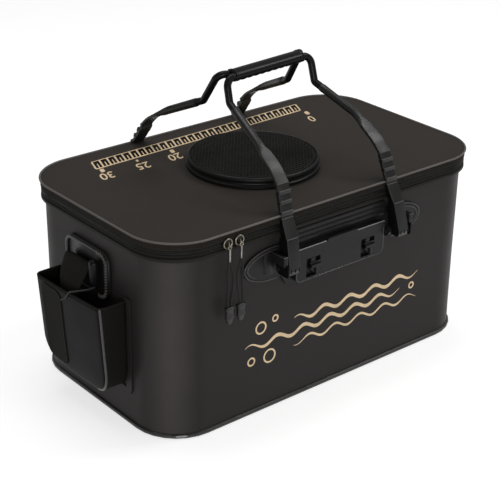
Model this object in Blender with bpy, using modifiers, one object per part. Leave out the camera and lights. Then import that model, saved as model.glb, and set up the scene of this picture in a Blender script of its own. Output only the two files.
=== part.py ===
"""A folding fishing bucket: soft welded walls on a stiff floor, a zipped lid with a round vent,
two folding handles that meet in one grip, an accessory rail on the front and a pump pocket on the
left end.

Metres, +Z up. The origin is the centre of the floor's underside, +X runs along the length and -Y
is the front.
"""

import math

import bmesh
import bpy
from mathutils import Matrix, Vector

# Overall size
LENGTH = 0.500
DEPTH = 0.2828
HEIGHT = 0.2533
CORNER = 0.058
CORNER_STEPS = 7
CLEAR = 0.0003
MERGE = 0.00001
SHARP = math.radians(35)

# Floor, wall and their welt
FLOOR = 0.004
WALL = 0.0025
BASE_BEAD = 0.0026
BASE_BEAD_OUT = 0.0005

# Rim and lid edge, upwards from the wall
RIM_OUT = 0.005
RIM_BAND = 0.0097
RIM_FRAME = 0.0035
RIM_FRAME_DROP = 0.003
ZIP_OUT = 0.0042
ZIP_WIDE = 0.0032
ZIP_TALL = 0.0018
ZIP_GAP = 0.0004
LID_BAND = 0.0065
LID_BAND_IN = 0.004
LID_PANEL = 0.0031
PIPING = 0.0021
PIPING_INSET = 0.0001
HINGE_TAPE = 0.0008
HINGE_TAPE_HALF = 0.185
TAPE_CORNER = 0.002

# Vent in the lid
VENT_X = -0.015
VENT_Y = -0.006
VENT_RADIUS = 0.083
VENT_STEP = 0.001
VENT_WALL = 0.0047
VENT_RIB = 0.0066
VENT_EASE = 0.3
VENT_DOME = 0.002
VENT_CROWN = (0.55, 0.7)
VENT_MESH = 0.0012
VENT_STEPS = 44

# Plates that carry the handles, the same on the front and the rear
PLATE = 0.0024
PLATE_BELOW_RIM = 0.0008
PLATE_BELOW_RAIL = 0.0009
PLATE_MIDDLE = 0.078
LOBE_X = 0.098
LOBE_DROP = 0.0332
LOBE_HALF_X = 0.044
LOBE_HALF_Z = 0.0215
LOBE_SWEEP = 106
EAR = 0.005
EAR_RADIUS = 0.0065
EAR_FLARE = 0.002

# Handle pins and straps
PIN_X = 0.088
PIN_OUT = 0.0116
PIN_DROP = 0.0372
PIN_RADIUS = 0.002
PIN_HEAD = 0.0034
PIN_HEAD_TALL = 0.0012
STRAP_WIDE = 0.018
STRAP_SIDE = 0.0008
STRAP_LEAN = 0.075
KNUCKLE = 0.006
BLOCK_OUT = 0.009
BLOCK_BACK = 0.002
BLOCK_FOOT = 0.0144
BLOCK_TALL = 0.036
BLOCK_EASE = 0.001
RIB_FOOT = 0.064
RIB_TOP_IN = 0.0175
RIB_TOP = 0.095
RIBS = 4
RIB_OUTER = 0.0036
RIB_INNER = 0.0028
RIB_CORE = 0.0020
TONGUE = 0.0018
TONGUE_ROUTE = ((0.0245, 0.1035), (0.0340, 0.1115), (0.0460, 0.1190), (0.0580, 0.1256))
STRAP_END = (0.068, 0.1312)
STRAP_END_HALF = 0.0048
STRAP_TAPER = (0.119, 0.1256)
STRAP_NECK = 0.56

# Handle bars and grip
BAR = 0.0045
GRIP_Y = -0.010
GRIP_RISE = 0.1835
GRIP_HALF = 0.0545
GRIP_WALL = 0.0027
GRIP_SLACK = 0.0007
GRIP_LIP = 0.0023
GRIP_EASE = 0.001
BAR_PITCH = 0.010
SHOULDER_OUT = 0.011
SHOULDER_BEND = 0.012
KINK_BEND = 0.010
KINK_ASIDE = 0.021
KINK_IN = 0.123
FRONT_KINK_RISE = 0.161
REAR_KINK_RISE = 0.154

# Accessory rail on the front plate
RAIL_HALF = 0.071
RAIL_BELOW_PLATE = 0.0232
RAIL_LIP = 0.0035
RAIL_CORNER = 0.008
RAIL_BACK = 0.004
RAIL_FACE = 0.0048
LEDGE = 0.0022
LEDGE_TALL = 0.007
LEDGE_HALF = 0.070
LEDGE_RAISED_HALF = 0.0245
LEDGE_RAISE = 0.0035
LEDGE_EASE = 0.001
SOCKET_X = 0.044
SOCKET_DROP = 0.027
SOCKET_HALF_X = 0.011
SOCKET_HALF_Z = 0.012
SOCKET_CORNER = 0.0015
CLIP_BAR = 0.003
CLIP_SUNK = 0.0012
CLIP_REACH = 0.0125
RIDGE_HALF = 0.076
RIDGE_BASE = 0.0014
RIDGE_OUT = 0.0024
RIDGES = 3
RIDGE_GAP = 0.0008
RIDGE_RISE = 0.35
RIDGE_EDGE = 0.80

# Zip sliders and their pulls
LEFT_SLIDER_X = -0.1685
RIGHT_SLIDER_X = -0.152
SLIDER_RADIUS = 0.0065
SLIDER_DEEP = 0.0026
BRIDGE_WIDE = 0.0026
BRIDGE_RADIUS = 0.0023
PULL_DROP = 0.002
PULL_WIRE = 0.0008
PULL_HALF = 0.0030
PULL_TALL = 0.021
PULL_CORNER = 0.0010
PULL_CORD = 0.001
PULL_CORD_TALL = 0.054
PULL_END_HALF = 0.006
PULL_END_TALL = 0.022
PULL_END_DEEP = 0.0056
PULL_END_CORNER = 0.0035

# Pump pocket on the left end
POCKET_Y0 = -0.068
POCKET_Y1 = 0.070
POCKET_RISE = 0.0385
POCKET_DROP = 0.068
POCKET_DEEP = 0.036
POCKET_LESS_BELOW = 0.008
POCKET_WALL = 0.002
POCKET_BEVEL = 0.008
FLANGE = 0.0014
FLANGE_EDGE = 0.007
FLANGE_FOOT = 0.006
FLANGE_RISE = 0.006
FLANGE_IN = 0.004
FLANGE_CORNER = 0.012
PATCH_IN = 0.014
PATCH_WIDE = 0.044
PATCH_DROP = 0.008
PATCH_RISE = 0.016
PATCH = 0.0010
PATCH_CORNER = 0.010

# Boot with its bar, webbing and cord above the pocket
BOOT_Y = 0.0065
BOOT_RISE = 0.0185
BOOT_HALF_Y = 0.0435
BOOT_HALF_Z = 0.0300
BOOT_CORNER = 0.014
BOOT = 0.003
WELT = 0.0026
WELT_WIDE = 0.0055
BAR_ASIDE = 0.0225
BAR_LIFT = 0.0032
BAR_TALL = 0.034
BAR_RADIUS = 0.006
WEBBING_ASIDE = 0.0155
WEBBING_HALF = 0.0215
WEBBING = 0.0016
WEBBING_RISE = 0.0175
WEBBING_REACH = 0.021
WEBBING_CURVE = ((0.0, 0.008), (0.35, 0.022), (0.8, 0.040), (1.0, 0.054))
WEBBING_SUNK = 0.042
CORD = 0.0011
CORD_RUN = 0.010
CORD_SAG = 0.001
CORD_ASIDE = (-0.001, 0.003, 0.007, 0.012, 0.018)
CORD_DOWN = (0.005, 0.011, 0.016)

# Worked out from the sizes above
HALF_X = LENGTH / 2
HALF_Y = DEPTH / 2
LID_TOP = HEIGHT - PIPING / 2
PIPING_Z = HEIGHT - PIPING
PANEL_FOOT = LID_TOP - LID_PANEL
LID_BAND_TOP = PIPING_Z - PIPING - CLEAR
LID_BAND_FOOT = LID_BAND_TOP - LID_BAND
ZIP_TOP = LID_BAND_FOOT - CLEAR
ZIP_Z = ZIP_TOP - ZIP_TALL - ZIP_GAP / 2
ZIP_FOOT = ZIP_Z - ZIP_GAP / 2 - ZIP_TALL
RIM_TOP = ZIP_FOOT - CLEAR
RIM_FOOT = RIM_TOP - RIM_BAND
WALL_FOOT = 2 * BASE_BEAD + CLEAR
WALL_TOP = RIM_TOP - 2 * CLEAR
POCKET_Z0 = WALL_FOOT + POCKET_RISE
POCKET_Z1 = RIM_FOOT - POCKET_DROP
PLATE_FACE = HALF_Y + CLEAR + PLATE
PLATE_TOP = RIM_FOOT - PLATE_BELOW_RIM
LOBE_Z = PLATE_TOP - LOBE_DROP
PIN_Y = HALF_Y + PIN_OUT
PIN_Z = PLATE_TOP - PIN_DROP
GRIP_Z = PIN_Z + GRIP_RISE
BORE = PIN_RADIUS + CLEAR
BRACKET_HALF = STRAP_WIDE / 2 + STRAP_SIDE + EAR
RAIL_TOP = PLATE_TOP - RAIL_BELOW_PLATE
SOCKET_Z = RAIL_TOP - SOCKET_DROP
RAIL_FOOT = SOCKET_Z - SOCKET_HALF_Z - RAIL_LIP
PLATE_FOOT = RAIL_FOOT - PLATE_BELOW_RAIL
RAIL_BACK_FACE = PLATE_FACE + CLEAR + RAIL_BACK
RAIL_FRONT = RAIL_BACK_FACE + CLEAR + RAIL_FACE
SLIDER_FACE = HALF_Y + RIM_OUT + CLEAR + SLIDER_DEEP
PULL_Y = SLIDER_FACE + BRIDGE_RADIUS + CLEAR
PULL_Z = ZIP_Z - PULL_DROP
END_X = -HALF_X
POCKET_BACK = END_X - CLEAR - FLANGE - CLEAR
POCKET_FACE = POCKET_BACK - POCKET_DEEP
PATCH_Y1 = POCKET_Y1 - PATCH_IN
PATCH_Y0 = PATCH_Y1 - PATCH_WIDE
BOOT_FACE = END_X - CLEAR - BOOT
BOOT_Z = POCKET_Z1 + BOOT_RISE
BAR_X = BOOT_FACE - CLEAR - BAR_RADIUS
BAR_Y = BOOT_Y - BAR_ASIDE
BAR_FOOT = POCKET_Z1 + BAR_LIFT

SIDEWAYS = (math.pi / 2, 0.0, math.pi / 2)
UPRIGHT = (math.pi / 2, 0.0, 0.0)

parts = None
cutters = None


def clear_scene():
    for obj in list(bpy.data.objects):
        bpy.data.objects.remove(obj, do_unlink=True)


def new_collection(name):
    made = bpy.data.collections.new(name)
    bpy.context.scene.collection.children.link(made)
    return made


def material(name, colour, roughness, metallic=0.0):
    made = bpy.data.materials.new(name)
    made.use_nodes = True
    made.diffuse_color = (*colour, 1.0)
    shader = made.node_tree.nodes["Principled BSDF"]
    shader.inputs["Base Color"].default_value = (*colour, 1.0)
    shader.inputs["Roughness"].default_value = roughness
    shader.inputs["Metallic"].default_value = metallic
    return made


def link(obj, mat):
    parts.objects.link(obj)
    if mat:
        obj.data.materials.append(mat)
    return obj


def as_cutter(obj):
    """Hides an operand of a Boolean and moves it to the cutters."""
    parts.objects.unlink(obj)
    cutters.objects.link(obj)
    obj.hide_render = True
    obj.display_type = "WIRE"
    return obj


def add_spline(curve, points, cyclic=True):
    spline = curve.splines.new("POLY")
    spline.points.add(len(points) - 1)
    for place, point in zip(spline.points, points):
        place.co = (point[0], point[1], point[2] if len(point) > 2 else 0.0, 1.0)
    spline.use_cyclic_u = cyclic


def flat(name, loops, thickness, location, mat, rotation=(0.0, 0.0, 0.0)):
    """An outline with its holes, extruded evenly to both sides of its own plane."""
    curve = bpy.data.curves.new(name, "CURVE")
    curve.dimensions = "2D"
    curve.fill_mode = "BOTH"
    curve.extrude = thickness / 2
    for loop in loops:
        add_spline(curve, loop)
    obj = bpy.data.objects.new(name, curve)
    obj.location = location
    obj.rotation_euler = rotation
    return link(obj, mat)


def tube(name, points, radius, mat, cyclic=False, resolution=2, location=(0.0, 0.0, 0.0)):
    curve = bpy.data.curves.new(name, "CURVE")
    curve.dimensions = "3D"
    curve.bevel_depth = radius
    curve.bevel_resolution = resolution
    curve.use_fill_caps = not cyclic
    add_spline(curve, points, cyclic)
    obj = bpy.data.objects.new(name, curve)
    obj.location = location
    return link(obj, mat)


def turned(name, profile, location, mat, rotation=(0.0, 0.0, 0.0), steps=24):
    """A profile of (radius, height) points, from the top down its outer side, turned about Z."""
    mesh = bpy.data.meshes.new(name)
    closed = min(radius for radius, _ in profile) > 0.0
    edges = [(i, i + 1) for i in range(len(profile) - 1)]
    if closed:
        edges.append((len(profile) - 1, 0))
    mesh.from_pydata([(radius, 0.0, height) for radius, height in profile], edges, [])
    obj = bpy.data.objects.new(name, mesh)
    obj.location = location
    obj.rotation_euler = rotation
    screw = obj.modifiers.new("turn", "SCREW")
    screw.steps = steps
    screw.render_steps = steps
    screw.use_merge_vertices = True
    screw.merge_threshold = MERGE
    return link(obj, mat)


def shade(mesh):
    mesh.shade_smooth()
    mesh.set_sharp_from_angle(angle=SHARP)


def into_mesh(obj):
    """The same piece as a mesh, for a Boolean or a shear."""
    bpy.context.view_layer.update()
    evaluated = obj.evaluated_get(bpy.context.evaluated_depsgraph_get())
    mesh = bpy.data.meshes.new_from_object(evaluated)
    work = bmesh.new()
    work.from_mesh(mesh)
    bmesh.ops.remove_doubles(work, verts=work.verts, dist=MERGE / 10)
    bmesh.ops.recalc_face_normals(work, faces=work.faces)
    work.to_mesh(mesh)
    work.free()
    shade(mesh)
    name = obj.name
    where = obj.users_collection[0]
    matrix = obj.matrix_world.copy()
    bpy.data.objects.remove(obj, do_unlink=True)
    made = bpy.data.objects.new(name, mesh)
    made.matrix_world = matrix
    where.objects.link(made)
    return made


def join(target, others):
    """Unites the target with the other meshes."""
    for other in others:
        union = target.modifiers.new("with " + other.name, "BOOLEAN")
        union.operation = "UNION"
        union.object = as_cutter(other)
    return target


def rounded(half_x, half_y, radius, steps=CORNER_STEPS, centre=(0.0, 0.0)):
    """A rounded rectangle, counter-clockwise."""
    corners = ((1, 1, 0), (-1, 1, 90), (-1, -1, 180), (1, -1, 270))
    points = []
    for side_x, side_y, start in corners:
        for step in range(steps + 1):
            angle = math.radians(start + 90 * step / steps)
            x = centre[0] + side_x * (half_x - radius) + radius * math.cos(angle)
            y = centre[1] + side_y * (half_y - radius) + radius * math.sin(angle)
            points.append((x, y))
    return points


def body_outline(out):
    """The bucket's outline in plan, grown outwards by out."""
    return rounded(HALF_X + out, HALF_Y + out, CORNER + out)


def circle(radius, centre=(0.0, 0.0), steps=20):
    turns = [2 * math.pi * step / steps for step in range(steps)]
    return [(centre[0] + radius * math.cos(turn), centre[1] + radius * math.sin(turn)) for turn in turns]


def hoop(name, outer, inner, foot, top, mat):
    """A level band that follows the body's outline, between two offsets from it."""
    loops = (body_outline(outer), body_outline(inner))
    return flat(name, loops, top - foot, (0.0, 0.0, (foot + top) / 2), mat)


def slab(name, out, foot, top, mat, holes=()):
    loops = (body_outline(out), *holes)
    return flat(name, loops, top - foot, (0.0, 0.0, (foot + top) / 2), mat)


def bend(points, radii, steps=5):
    """A route of straight runs whose inner corners are rounded with arcs."""
    made = [Vector(points[0])]
    for before, corner, after, radius in zip(points, points[1:], points[2:], radii):
        corner = Vector(corner)
        back = (Vector(before) - corner).normalized()
        ahead = (Vector(after) - corner).normalized()
        half = back.angle(ahead) / 2
        reach = radius / math.tan(half)
        centre = corner + (back + ahead).normalized() * (radius / math.sin(half))
        first = corner + back * reach - centre
        last = corner + ahead * reach - centre
        for step in range(steps + 1):
            made.append(centre + first.slerp(last, step / steps) * radius)
    made.append(Vector(points[-1]))
    return made


def make_base(soft, welt):
    slab("base_panel", BASE_BEAD_OUT - BASE_BEAD - CLEAR, 0.0, FLOOR, soft)
    points = [(x, y, BASE_BEAD) for x, y in body_outline(BASE_BEAD_OUT)]
    tube("base_bead", points, BASE_BEAD, welt, cyclic=True)
    hoop("bucket_wall", 0.0, -WALL, WALL_FOOT, WALL_TOP, soft)


def make_hinge_tape(name, foot, top, webbing):
    """Half of the tape along the rear edge, which the lid turns on."""
    tape_y = HALF_Y + RIM_OUT + CLEAR + HINGE_TAPE / 2
    outline = rounded(HINGE_TAPE_HALF, (top - foot) / 2, TAPE_CORNER, 2)
    flat(name, (outline,), HINGE_TAPE, (0.0, tape_y, (foot + top) / 2), webbing, UPRIGHT)


def make_rim(webbing, stiff, coil):
    hoop("rim_band", RIM_OUT, CLEAR, RIM_FOOT, RIM_TOP, webbing)
    frame_out = -WALL - CLEAR
    hoop("rim_frame", frame_out, frame_out - RIM_FRAME, RIM_FOOT - RIM_FRAME_DROP, RIM_TOP, stiff)
    hoop("zip_lower", ZIP_OUT, ZIP_OUT - ZIP_WIDE, ZIP_FOOT, ZIP_FOOT + ZIP_TALL, coil)
    make_hinge_tape("rim_hinge_tape", RIM_FOOT, ZIP_Z - CLEAR, webbing)


def make_lid(soft, webbing, coil, welt):
    hoop("zip_upper", ZIP_OUT, ZIP_OUT - ZIP_WIDE, ZIP_TOP - ZIP_TALL, ZIP_TOP, coil)
    hoop("lid_band", RIM_OUT, -LID_BAND_IN, LID_BAND_FOOT, LID_BAND_TOP, webbing)
    make_hinge_tape("lid_hinge_tape", ZIP_Z + CLEAR, LID_BAND_TOP, webbing)
    piping_out = RIM_OUT - PIPING_INSET
    vent_hole = circle(VENT_RADIUS - VENT_WALL, (VENT_X, VENT_Y), VENT_STEPS)
    slab("lid_panel", piping_out - PIPING - CLEAR, PANEL_FOOT, LID_TOP, soft, (vent_hole,))
    points = [(x, y, PIPING_Z) for x, y in body_outline(piping_out)]
    tube("lid_piping", points, PIPING, welt, cyclic=True)


def make_vent(hard, mesh_mat):
    foot = LID_TOP + CLEAR
    inner = VENT_RADIUS - VENT_WALL
    for name, outer, low in (
        ("vent_ring", VENT_RADIUS, foot),
        ("vent_rib", VENT_RADIUS - VENT_STEP, foot + VENT_RIB + CLEAR),
    ):
        top = VENT_RIB
        profile = (
            (outer - VENT_STEP, top),
            (outer, top * (1 - VENT_EASE)),
            (outer, top * VENT_EASE),
            (outer - VENT_STEP, 0.0),
            (inner, 0.0),
            (inner, top),
        )
        turned(name, profile, (VENT_X, VENT_Y, low), hard, steps=VENT_STEPS)
    radius = inner - CLEAR
    top = 2 * VENT_RIB + CLEAR
    rise = ((0.0, VENT_DOME), (radius * VENT_CROWN[0], VENT_DOME * VENT_CROWN[1]), (radius, 0.0))
    dome = [(r, top + z) for r, z in rise] + [(r, top + z - VENT_MESH) for r, z in reversed(rise)]
    turned("vent_mesh", dome, (VENT_X, VENT_Y, foot), mesh_mat, steps=VENT_STEPS)


def plate_outline():
    """The handle plate seen from the front: a middle panel with a rounded lobe at each end."""
    lobe = []
    for step in range(15):
        angle = math.radians(LOBE_SWEEP * (1 - step / 7))
        lobe.append((LOBE_X + LOBE_HALF_X * math.cos(angle), LOBE_Z + LOBE_HALF_Z * math.sin(angle)))
    right = [(PLATE_MIDDLE, PLATE_TOP), *lobe, (PLATE_MIDDLE, PLATE_FOOT)]
    left = [(-x, z) for x, z in reversed(right)]
    return right + left


def ear_outline():
    """One ear of a handle bracket seen from its side, from inside the plate out round the pin."""
    inside = -(PIN_OUT - CLEAR - PLATE / 2)
    points = [(-inside, EAR_RADIUS + EAR_FLARE)]
    for step in range(13):
        angle = math.radians(90 + 180 * step / 12)
        points.append((EAR_RADIUS * math.cos(angle), EAR_RADIUS * math.sin(angle)))
    points.append((-inside, -EAR_RADIUS - EAR_FLARE))
    return points


def make_plate(name, side, hard):
    """side is -1 on the front and 1 on the rear."""
    face_y = side * (HALF_Y + CLEAR + PLATE / 2)
    plate = into_mesh(flat(name, (plate_outline(),), PLATE, (0.0, face_y, 0.0), hard, UPRIGHT))
    ears = []
    for hand in (-1, 1):
        for edge in (-1, 1):
            x = hand * PIN_X + edge * (BRACKET_HALF - EAR / 2)
            outline = [(-side * y, z) for y, z in ear_outline()]
            place = (x, side * PIN_Y, PIN_Z)
            ear_name = f"{name}_ear_{hand}_{edge}"
            ears.append(into_mesh(flat(ear_name, (outline, circle(BORE)), EAR, place, None, SIDEWAYS)))
    return join(plate, ears)


def make_pin(name, x, side, metal):
    half = BRACKET_HALF + CLEAR
    head = half + PIN_HEAD_TALL
    profile = (
        (0.0, head),
        (PIN_HEAD, head),
        (PIN_HEAD, half),
        (PIN_RADIUS, half),
        (PIN_RADIUS, -half),
        (PIN_HEAD, -half),
        (PIN_HEAD, -head),
        (0.0, -head),
    )
    turned(name, profile, (x, side * PIN_Y, PIN_Z), metal, (0.0, math.pi / 2, 0.0), steps=16)


def offset_line(points, distance):
    """Points beside a line, at a distance to its left."""
    made = []
    for i, point in enumerate(points):
        before = Vector(points[max(i - 1, 0)])
        after = Vector(points[min(i + 1, len(points) - 1)])
        along = (after - before).normalized()
        made.append((point[0] - along.y * distance, point[1] + along.x * distance))
    return made


def rib_side(distance):
    """One side of the ribbed stretch, as trapezoids that stand out from the core by distance."""
    foot = Vector((-RIB_CORE / 3, RIB_FOOT))
    top = Vector((RIB_TOP_IN, RIB_TOP))
    along = (top - foot) / RIBS
    side = Vector((-along.y, along.x)).normalized() * math.copysign(1.0, distance)
    made = []
    for rib in range(RIBS):
        for share, reach in ((0.0, RIB_CORE), (0.25, abs(distance)), (0.75, abs(distance))):
            made.append(tuple(foot + along * (rib + share) + side * reach))
    return made


def strap_outline():
    """A handle strap seen from its side: knuckle, block, ribs, tongue and the end that holds the bar."""
    knuckle = []
    start = math.degrees(math.asin(math.sqrt(KNUCKLE**2 - BLOCK_BACK**2) / KNUCKLE))
    for step in range(11):
        angle = math.radians(start - (start + 180) * step / 10)
        knuckle.append((KNUCKLE * math.cos(angle), KNUCKLE * math.sin(angle)))
    block = [(-BLOCK_OUT, BLOCK_FOOT), (-BLOCK_OUT, BLOCK_TALL)]
    tongue = [(RIB_TOP_IN, RIB_TOP), *TONGUE_ROUTE]
    outer = offset_line(tongue, TONGUE)
    inner = offset_line(tongue, -TONGUE)
    end = offset_line((TONGUE_ROUTE[-1], STRAP_END), STRAP_END_HALF)
    end_inner = offset_line((TONGUE_ROUTE[-1], STRAP_END), -STRAP_END_HALF)
    back = [(BLOCK_BACK, RIB_FOOT - BLOCK_EASE)]
    return (
        knuckle + block + rib_side(RIB_OUTER) + outer[:-1] + end
        + end_inner[::-1] + inner[:-1][::-1] + rib_side(-RIB_INNER)[::-1] + back
    )


def make_strap(name, hand, side, rubber):
    """hand is -1 on the left, 1 on the right; side is -1 on the front, 1 on the rear."""
    outline = [(-side * y, z) for y, z in strap_outline()]
    place = (hand * PIN_X, side * PIN_Y, PIN_Z)
    strap = into_mesh(flat(name, (outline, circle(BORE)), STRAP_WIDE, place, rubber, SIDEWAYS))
    # The mesh's own Y points up and its Z along the pin.
    low, high = STRAP_TAPER
    for vert in strap.data.vertices:
        share = min(max((vert.co.y - low) / (high - low), 0.0), 1.0)
        vert.co.z *= 1 + (STRAP_NECK - 1) * share
    lean = Matrix.Identity(4)
    lean[2][1] = -hand * STRAP_LEAN
    strap.data.transform(lean)
    return strap


def bar_start(side):
    """The bar's first two points on the right, square to the end of its strap."""
    along = (Vector(STRAP_END) - Vector(TONGUE_ROUTE[-1])).normalized()
    made = []
    for reach in (CLEAR, CLEAR + BAR):
        point = Vector(STRAP_END) + along * reach
        made.append((PIN_X - STRAP_LEAN * STRAP_END[1], side * (PIN_Y - point.x), PIN_Z + point.y))
    return made


def make_bar(name, side, kink_rise, bar_y, steel):
    kink = (PIN_X - KINK_ASIDE, side * (PIN_Y - KINK_IN), PIN_Z + kink_rise)
    right = [*bar_start(side), kink, (GRIP_HALF + SHOULDER_OUT, bar_y, GRIP_Z)]
    left = [(-x, y, z) for x, y, z in reversed(right)]
    radii = (KINK_BEND, KINK_BEND, SHOULDER_BEND)
    route = bend(right + left, radii + radii[::-1])
    pivot = Vector((0.0, side * PIN_Y, PIN_Z))
    tube(name, [point - pivot for point in route], BAR, steel, resolution=2, location=pivot)


def grip_outline():
    """The grip's section: a channel, open to the rear, that closes round the front bar."""
    half_y = BAR_PITCH / 2 + BAR + GRIP_SLACK + GRIP_LIP
    half_z = BAR + GRIP_SLACK + GRIP_WALL
    inner = BAR + GRIP_SLACK
    centre = -BAR_PITCH / 2
    lip = ((half_y - GRIP_EASE, half_z - GRIP_EASE / 2), (half_y - 3 * GRIP_EASE, half_z))
    points = [(half_y, inner), *lip]
    for step in range(11):
        angle = math.radians(90 + 180 * step / 10)
        points.append((-half_y + half_z + half_z * math.cos(angle), half_z * math.sin(angle)))
    points += [(y, -z) for y, z in reversed(lip)]
    points.append((half_y, -inner))
    for step in range(9):
        angle = math.radians(270 - 180 * step / 8)
        points.append((centre + inner * math.cos(angle), inner * math.sin(angle)))
    return points


def make_handles(rubber, steel, hard):
    for side, word in ((-1, "front"), (1, "rear")):
        for hand, which in ((-1, "left"), (1, "right")):
            make_strap(f"{word}_{which}_strap", hand, side, rubber)
    make_bar("front_bar", -1, FRONT_KINK_RISE, GRIP_Y - BAR_PITCH / 2, steel)
    make_bar("rear_bar", 1, REAR_KINK_RISE, GRIP_Y + BAR_PITCH / 2, steel)
    flat("grip", (grip_outline(),), 2 * GRIP_HALF, (0.0, GRIP_Y, GRIP_Z), hard, SIDEWAYS)


def front_flat(name, loops, back, thickness, mat):
    """A plate on the front whose loops hold (x, z) points and whose back lies at -Y back."""
    return flat(name, loops, thickness, (0.0, -(back + thickness / 2), 0.0), mat, UPRIGHT)


def make_rail(hard):
    middle = (0.0, (RAIL_TOP + RAIL_FOOT) / 2)
    outline = rounded(RAIL_HALF, (RAIL_TOP - RAIL_FOOT) / 2, RAIL_CORNER, 4, middle)
    front_flat("rail_back", (outline,), PLATE_FACE + CLEAR, RAIL_BACK, hard)
    sockets = []
    for hand in (-1, 1):
        centre = (hand * SOCKET_X, SOCKET_Z)
        sockets.append(rounded(SOCKET_HALF_X, SOCKET_HALF_Z, SOCKET_CORNER, 2, centre))
    front_flat("rail_face", (outline, *sockets), RAIL_BACK_FACE + CLEAR, RAIL_FACE, hard)
    right = [
        (LEDGE_HALF, RAIL_TOP - LEDGE_TALL),
        (LEDGE_HALF, RAIL_TOP),
        (LEDGE_RAISED_HALF, RAIL_TOP),
        (LEDGE_RAISED_HALF - LEDGE_EASE, RAIL_TOP + LEDGE_RAISE),
    ]
    left = [(-x, z) for x, z in reversed(right)]
    front_flat("rail_ledge", (right + left,), RAIL_FRONT + CLEAR, LEDGE, hard)
    for hand, which in ((-1, "left"), (1, "right")):
        make_clip(f"{which}_socket_clip", hand, hard)
    make_ridges(hard)


def make_clip(name, hand, hard):
    """The comb-shaped clip at the right side of a socket."""
    spine = hand * SOCKET_X + SOCKET_HALF_X - CLEAR
    half = SOCKET_HALF_Z - CLEAR - SOCKET_CORNER
    tooth = 2 * half / 5
    points = [(spine, SOCKET_Z + half)]
    for step in range(3):
        top = SOCKET_Z + half - 2 * tooth * step
        reach = spine - CLIP_REACH
        points += [(reach, top), (reach, top - tooth)]
        if step < 2:
            points += [(spine - CLIP_BAR, top - tooth), (spine - CLIP_BAR, top - 2 * tooth)]
    points.append((spine, SOCKET_Z - half))
    front_flat(name, (points,), RAIL_BACK_FACE + CLEAR, RAIL_FACE - CLIP_SUNK, hard)


def make_ridges(hard):
    """The stepped strip between the rail and the rim."""
    foot = RAIL_TOP + LEDGE_RAISE + RIDGE_GAP
    pitch = (PLATE_TOP - CLEAR - foot) / RIDGES
    points = [(0.0, foot + RIDGES * pitch), (0.0, foot)]
    for ridge in range(RIDGES):
        low = foot + ridge * pitch
        points.append((-RIDGE_BASE, low))
        points.append((-RIDGE_OUT, low + RIDGE_RISE * pitch))
        points.append((-RIDGE_OUT, low + RIDGE_EDGE * pitch))
    points.append((-RIDGE_BASE, foot + RIDGES * pitch))
    flat("ridge_strip", (points,), 2 * RIDGE_HALF, (0.0, -PLATE_FACE - CLEAR, 0.0), hard, SIDEWAYS)


def make_slider(name, x, metal):
    place = (x, SLIDER_DEEP / 2 - SLIDER_FACE, ZIP_Z)
    slider = into_mesh(flat(name, (circle(SLIDER_RADIUS),), SLIDER_DEEP, place, metal, UPRIGHT))
    reach = PULL_Y - SLIDER_FACE + SLIDER_DEEP / 2
    loop = [(reach, BRIDGE_RADIUS)]
    for step in range(9):
        angle = math.radians(90 + 180 * step / 8)
        loop.append((BRIDGE_RADIUS * math.cos(angle), BRIDGE_RADIUS * math.sin(angle)))
    loop.append((reach, -BRIDGE_RADIUS))
    hole = circle(PULL_WIRE + CLEAR, steps=12)
    bridge = flat(name + "_bridge", (loop, hole), BRIDGE_WIDE, (x, -PULL_Y, PULL_Z), None, SIDEWAYS)
    return join(slider, [into_mesh(bridge)])


def make_pull(name, x, metal, cord, hard):
    pivot = (x, -PULL_Y, PULL_Z)
    frame = rounded(PULL_HALF, PULL_TALL / 2, PULL_CORNER, 3, (0.0, -PULL_TALL / 2))
    tube(name + "_tab", [(a, 0.0, b) for a, b in frame], PULL_WIRE, metal, cyclic=True, location=pivot)
    wrap = PULL_WIRE + PULL_CORD + CLEAR
    foot = -PULL_TALL - PULL_CORD_TALL
    loop = [(0.0, wrap, foot)]
    for step in range(9):
        angle = math.radians(180 * step / 8)
        loop.append((0.0, wrap * math.cos(angle), wrap * math.sin(angle) - PULL_TALL))
    loop.append((0.0, -wrap, foot))
    tube(name + "_cord", loop, PULL_CORD, cord, location=pivot)
    middle = (0.0, foot - CLEAR - PULL_END_TALL / 2)
    end = rounded(PULL_END_HALF, PULL_END_TALL / 2, PULL_END_CORNER, 3, middle)
    flat(name + "_end", (end,), PULL_END_DEEP, pivot, hard, UPRIGHT)


def end_flat(name, loops, back, thickness, mat):
    """A plate on the left end whose loops hold (y, z) points and whose back lies at X back."""
    return flat(name, loops, thickness, (back - thickness / 2, 0.0, 0.0), mat, SIDEWAYS)


def flange_outline():
    """The U that welds the pocket's sides and foot to the wall."""
    top = POCKET_Z1 + FLANGE_RISE
    foot = POCKET_Z0 - FLANGE_FOOT
    left = POCKET_Y0 - FLANGE_EDGE
    right = POCKET_Y1 + FLANGE_EDGE
    points = [(right, top), (POCKET_Y1 - FLANGE_IN, top), (POCKET_Y1 - FLANGE_IN, POCKET_Z0 + FLANGE_IN)]
    points += [(POCKET_Y0 + FLANGE_IN, POCKET_Z0 + FLANGE_IN), (POCKET_Y0 + FLANGE_IN, top), (left, top)]
    for centre_y, start in ((left + FLANGE_CORNER, 180), (right - FLANGE_CORNER, 270)):
        for step in range(6):
            angle = math.radians(start + 90 * step / 5)
            y = centre_y + FLANGE_CORNER * math.cos(angle)
            points.append((y, foot + FLANGE_CORNER + FLANGE_CORNER * math.sin(angle)))
    return points


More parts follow.
